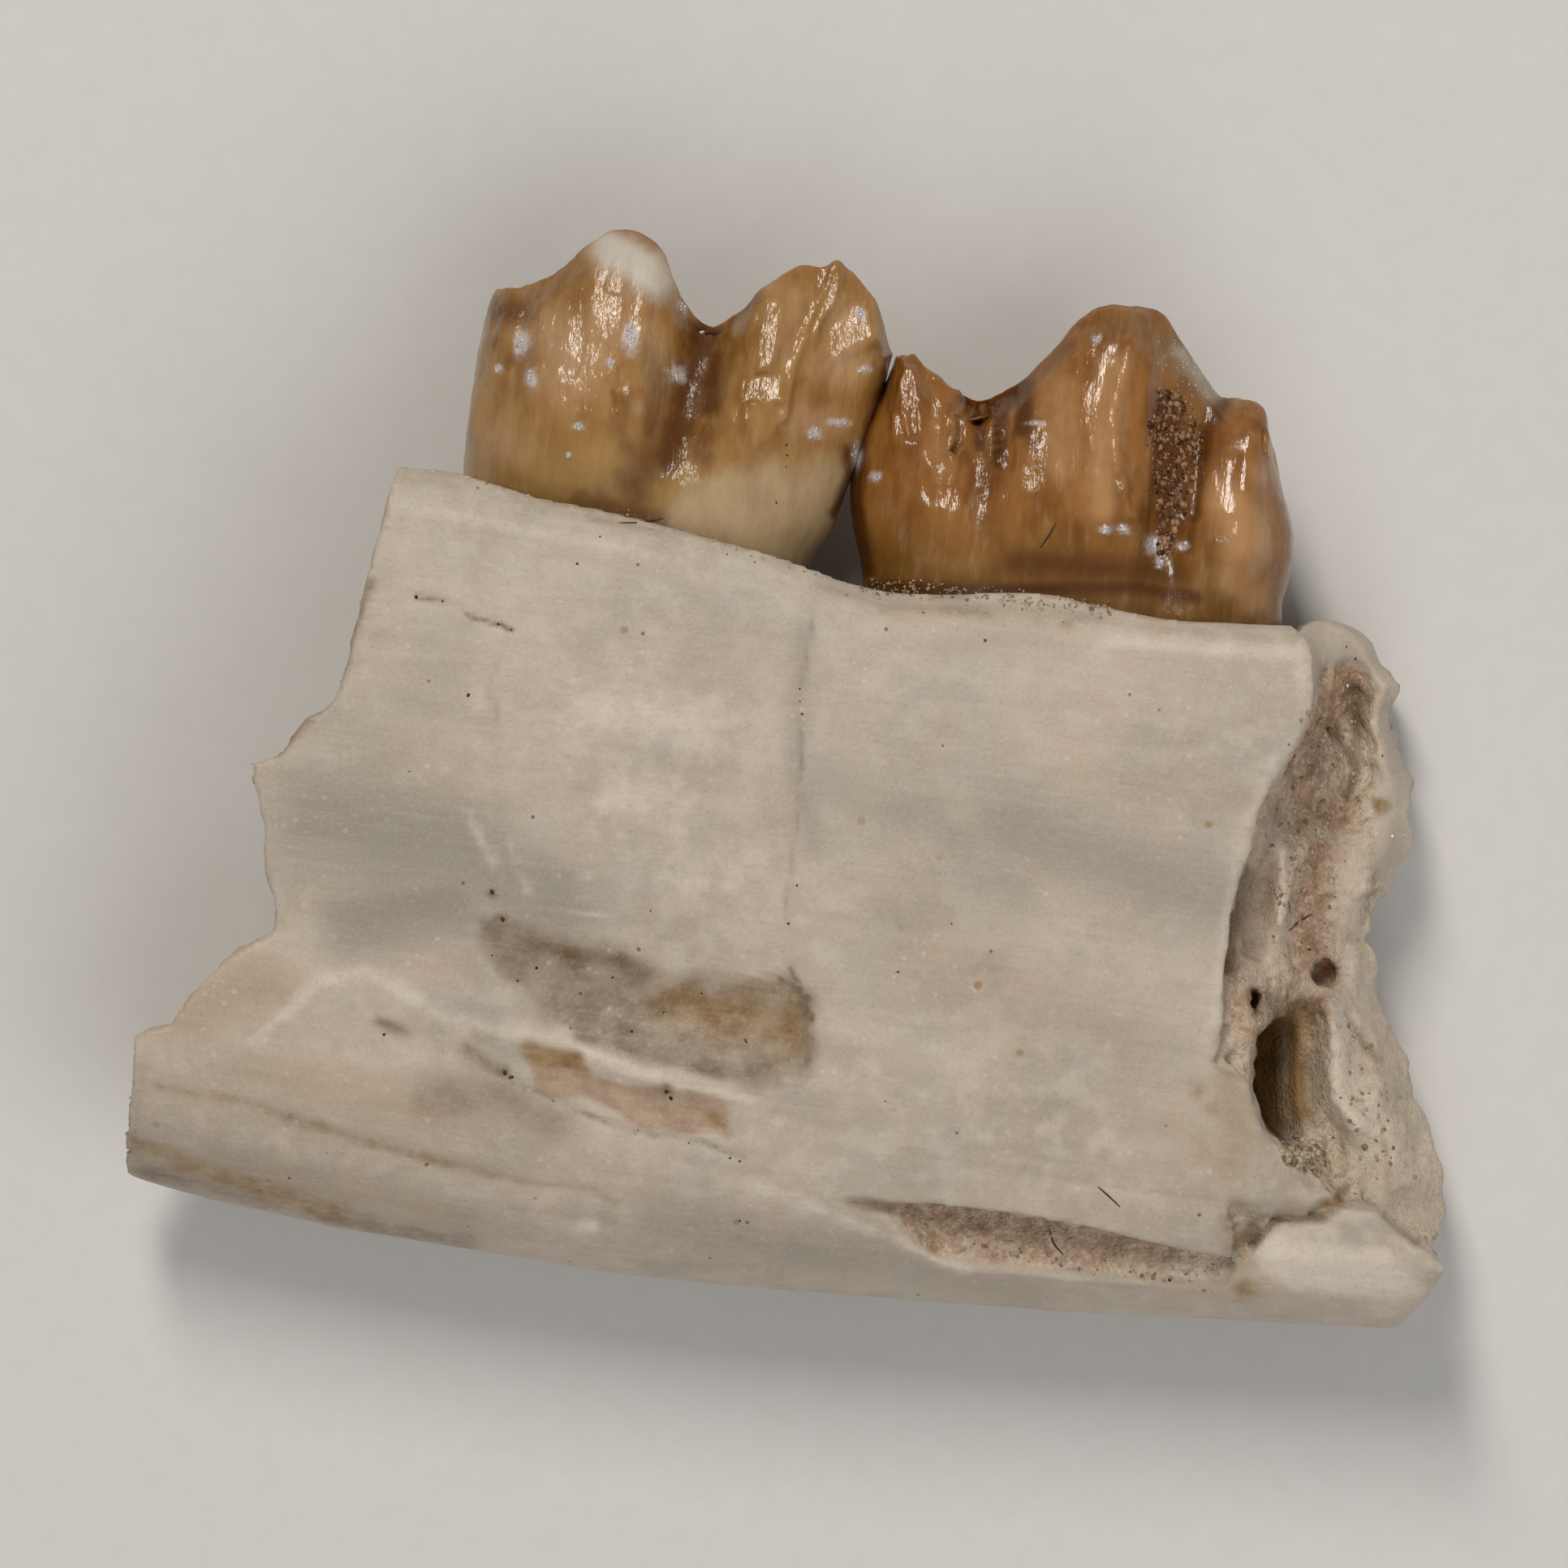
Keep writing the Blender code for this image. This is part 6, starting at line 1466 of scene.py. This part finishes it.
def loose_grain(name, pale, dark, gloss):
    """Loose mineral matter. Each grain has its own shade between two colours."""
    material, tree, shader, where = new_material(name)
    cloud = pattern(tree, where, 0.05, 3)
    shade = maths(tree, "MULTIPLY_ADD", mask(tree, "shade"), 0.75, maths(tree, "MULTIPLY", cloud, 0.25))
    colour = mixed(tree, ramp(tree, shade, 0.15, 0.85), linear(pale), linear(dark))
    tree.links.new(colour, shader.inputs["Base Color"])
    tree.links.new(ramp(tree, cloud, 0.3, 0.7, gloss, gloss + 0.15), shader.inputs["Roughness"])
    bump = add(tree, "Bump", {"Height": cloud, "Strength": 0.6, "Distance": 0.01 * MM})
    tree.links.new(bump.outputs[0], shader.inputs["Normal"])
    return material


def paper_floor():
    """Pale matt board: plain, with a faint tooth."""
    material, tree, shader, where = new_material("pale_matt_board")
    tooth = pattern(tree, where, 0.5, 3)
    colour = mixed(tree, ramp(tree, tooth, 0.3, 0.7), linear("d0cdc8"), linear("d2cfcb"))
    tree.links.new(colour, shader.inputs["Base Color"])
    shader.inputs["Roughness"].default_value = 0.85
    return material


# The stage.
# The photograph is 1932 pixels across, at 78 to the millimetre. Lengths here are in millimetres.
SEEN_WIDTH = 1932 / 78
FACE_HEIGHT = 4.4
CAMERA_DISTANCE = 250.0
SENSOR_WIDTH = 36.0
LIT_POINT = (0, 0, 2)


def lay_floor():
    bpy.ops.object.select_all(action="DESELECT")
    bpy.ops.mesh.primitive_plane_add(size=2.0)
    floor = named("floor")
    floor.data.materials.append(paper_floor())


def hang_light(name, place_mm, size_mm, watts, colour):
    lamp = bpy.data.lights.new(name, "AREA")
    lamp.shape = "RECTANGLE"
    lamp.size, lamp.size_y = (side * MM for side in size_mm)
    lamp.energy = watts
    lamp.color = linear(colour)[:3]
    holder = bpy.data.objects.new(name, lamp)
    bpy.context.scene.collection.objects.link(holder)
    holder.location = Vector(place_mm) * MM
    holder.rotation_euler = (Vector(place_mm) - Vector(LIT_POINT)).to_track_quat("Z", "Y").to_euler()
    return holder


def light_stage():
    hang_light("key_softbox", (-40, 150, 230), (55, 130), 0.43, "fffaf2")
    fill = hang_light("fill_softbox", (90, -150, 230), (320, 260), 0.41, "ffffff")
    fill.visible_glossy = False
    world = bpy.data.worlds.new("studio")
    bpy.context.scene.world = world
    world.use_nodes = True
    world.node_tree.nodes["Background"].inputs["Color"].default_value = linear("c9ccd2")
    world.node_tree.nodes["Background"].inputs["Strength"].default_value = 0.32


def place_camera():
    """Looks straight down on the tongue side, as the photograph does."""
    camera = bpy.data.objects.new("camera", bpy.data.cameras.new("camera"))
    bpy.context.scene.collection.objects.link(camera)
    camera.location = (0, 0, (FACE_HEIGHT + CAMERA_DISTANCE) * MM)
    camera.data.sensor_width = SENSOR_WIDTH
    camera.data.lens = SENSOR_WIDTH * CAMERA_DISTANCE / SEEN_WIDTH
    camera.data.clip_start = 0.01
    bpy.context.scene.camera = camera


def dress(piece, material, node=None):
    """Gives a finished piece its material and hands it to the frame."""
    piece.data.materials.clear()
    piece.data.materials.append(material)
    to_metres(piece)
    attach(piece, "root")
    if node:
        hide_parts(node)


def main():
    bone = make_bone()
    molar = make_tooth("molar_crown_and_roots", MOLAR, MOLAR_RELIEF, MOLAR_FACETS, MOLAR_CRINKLES, 81)
    premolar = make_tooth("premolar_crown_and_roots", PREMOLAR, PREMOLAR_RELIEF, PREMOLAR_FACETS,
                          PREMOLAR_CRINKLES, 91)
    stain_bone(bone)
    stain_tooth(molar, MOLAR, MOLAR_DARK, MOLAR_PALE, MOLAR_ROSY, MOLAR_GREY, MOLAR_ROOT_LINE, MOLAR_CRINKLES)
    stain_tooth(premolar, PREMOLAR, PREMOLAR_DARK, PREMOLAR_PALE, PREMOLAR_ROSY, PREMOLAR_GREY,
                PREMOLAR_ROOT_LINE, PREMOLAR_CRINKLES)
    bpy.context.view_layer.update()
    graph = bpy.context.evaluated_depsgraph_get()
    trees = [BVHTree.FromObject(piece, graph) for piece in (bone, molar, premolar)]
    random = np.random.default_rng(7)
    white = grains("mineral_specks", trees, speck_spots(random), 3, 0.08)
    groove = [(GROOVE_BED, 210, 0.03, 0.075), (GROOVE_BED, 520, 0.012, 0.035)]
    bed = grains("groove_sediment", trees, bed_spots(random, groove), 5, 0.4)
    dark = grains("dark_specks", trees, [(x, y, 0.65 * radius) for x, y, radius in DARK_SPECKS], 9, 0.4)
    crumbs = grains("bone_crumbs", trees, bed_spots(random, CRUMB_BEDS), 13, 0.7)
    sparkles = SPARKLES + bed_spots(random, [(FACET_BED, 40, 0.006, 0.014)])
    bright = grains("sparkling_crystals", trees, sparkles, 15, 0.9)
    threads = [fibre(trees, points, number) for number, points in enumerate(FIBRES, 1)]
    dress(bone, fossil_bone(), "jaw_bone")
    enamel = fossil_enamel("stained_molar_enamel", "a67d48", "8b5f2a", "b6906a", "b49a74", "9c7b48")
    dress(molar, enamel, "molar_tooth")
    enamel = fossil_enamel("stained_premolar_enamel", "986630", "784a16", "b78a5a", "7a6240", "75531f")
    dress(premolar, enamel, "premolar_tooth")
    dress(white, loose_grain("white_calcite_flakes", "d6cfcd", "c0b7b5", 0.6))
    dress(bed, loose_grain("iron_stained_quartz_grains", "9c7653", "3f1703", 0.3))
    dress(dark, loose_grain("manganese_specks", "46341f", "1b130b", 0.55))
    dress(crumbs, loose_grain("bone_crumb", "b9a88e", "80684a", 0.7))
    dress(bright, loose_grain("clear_calcite_crystals", "f2efe9", "dcd8d0", 0.05))
    for thread in threads:
        dress(thread, loose_grain("dark_dust_fibre", "3a2e26", "1d1713", 0.5))
    lay_floor()
    light_stage()
    place_camera()
    bpy.context.scene.view_settings.view_transform = "Standard"


main()
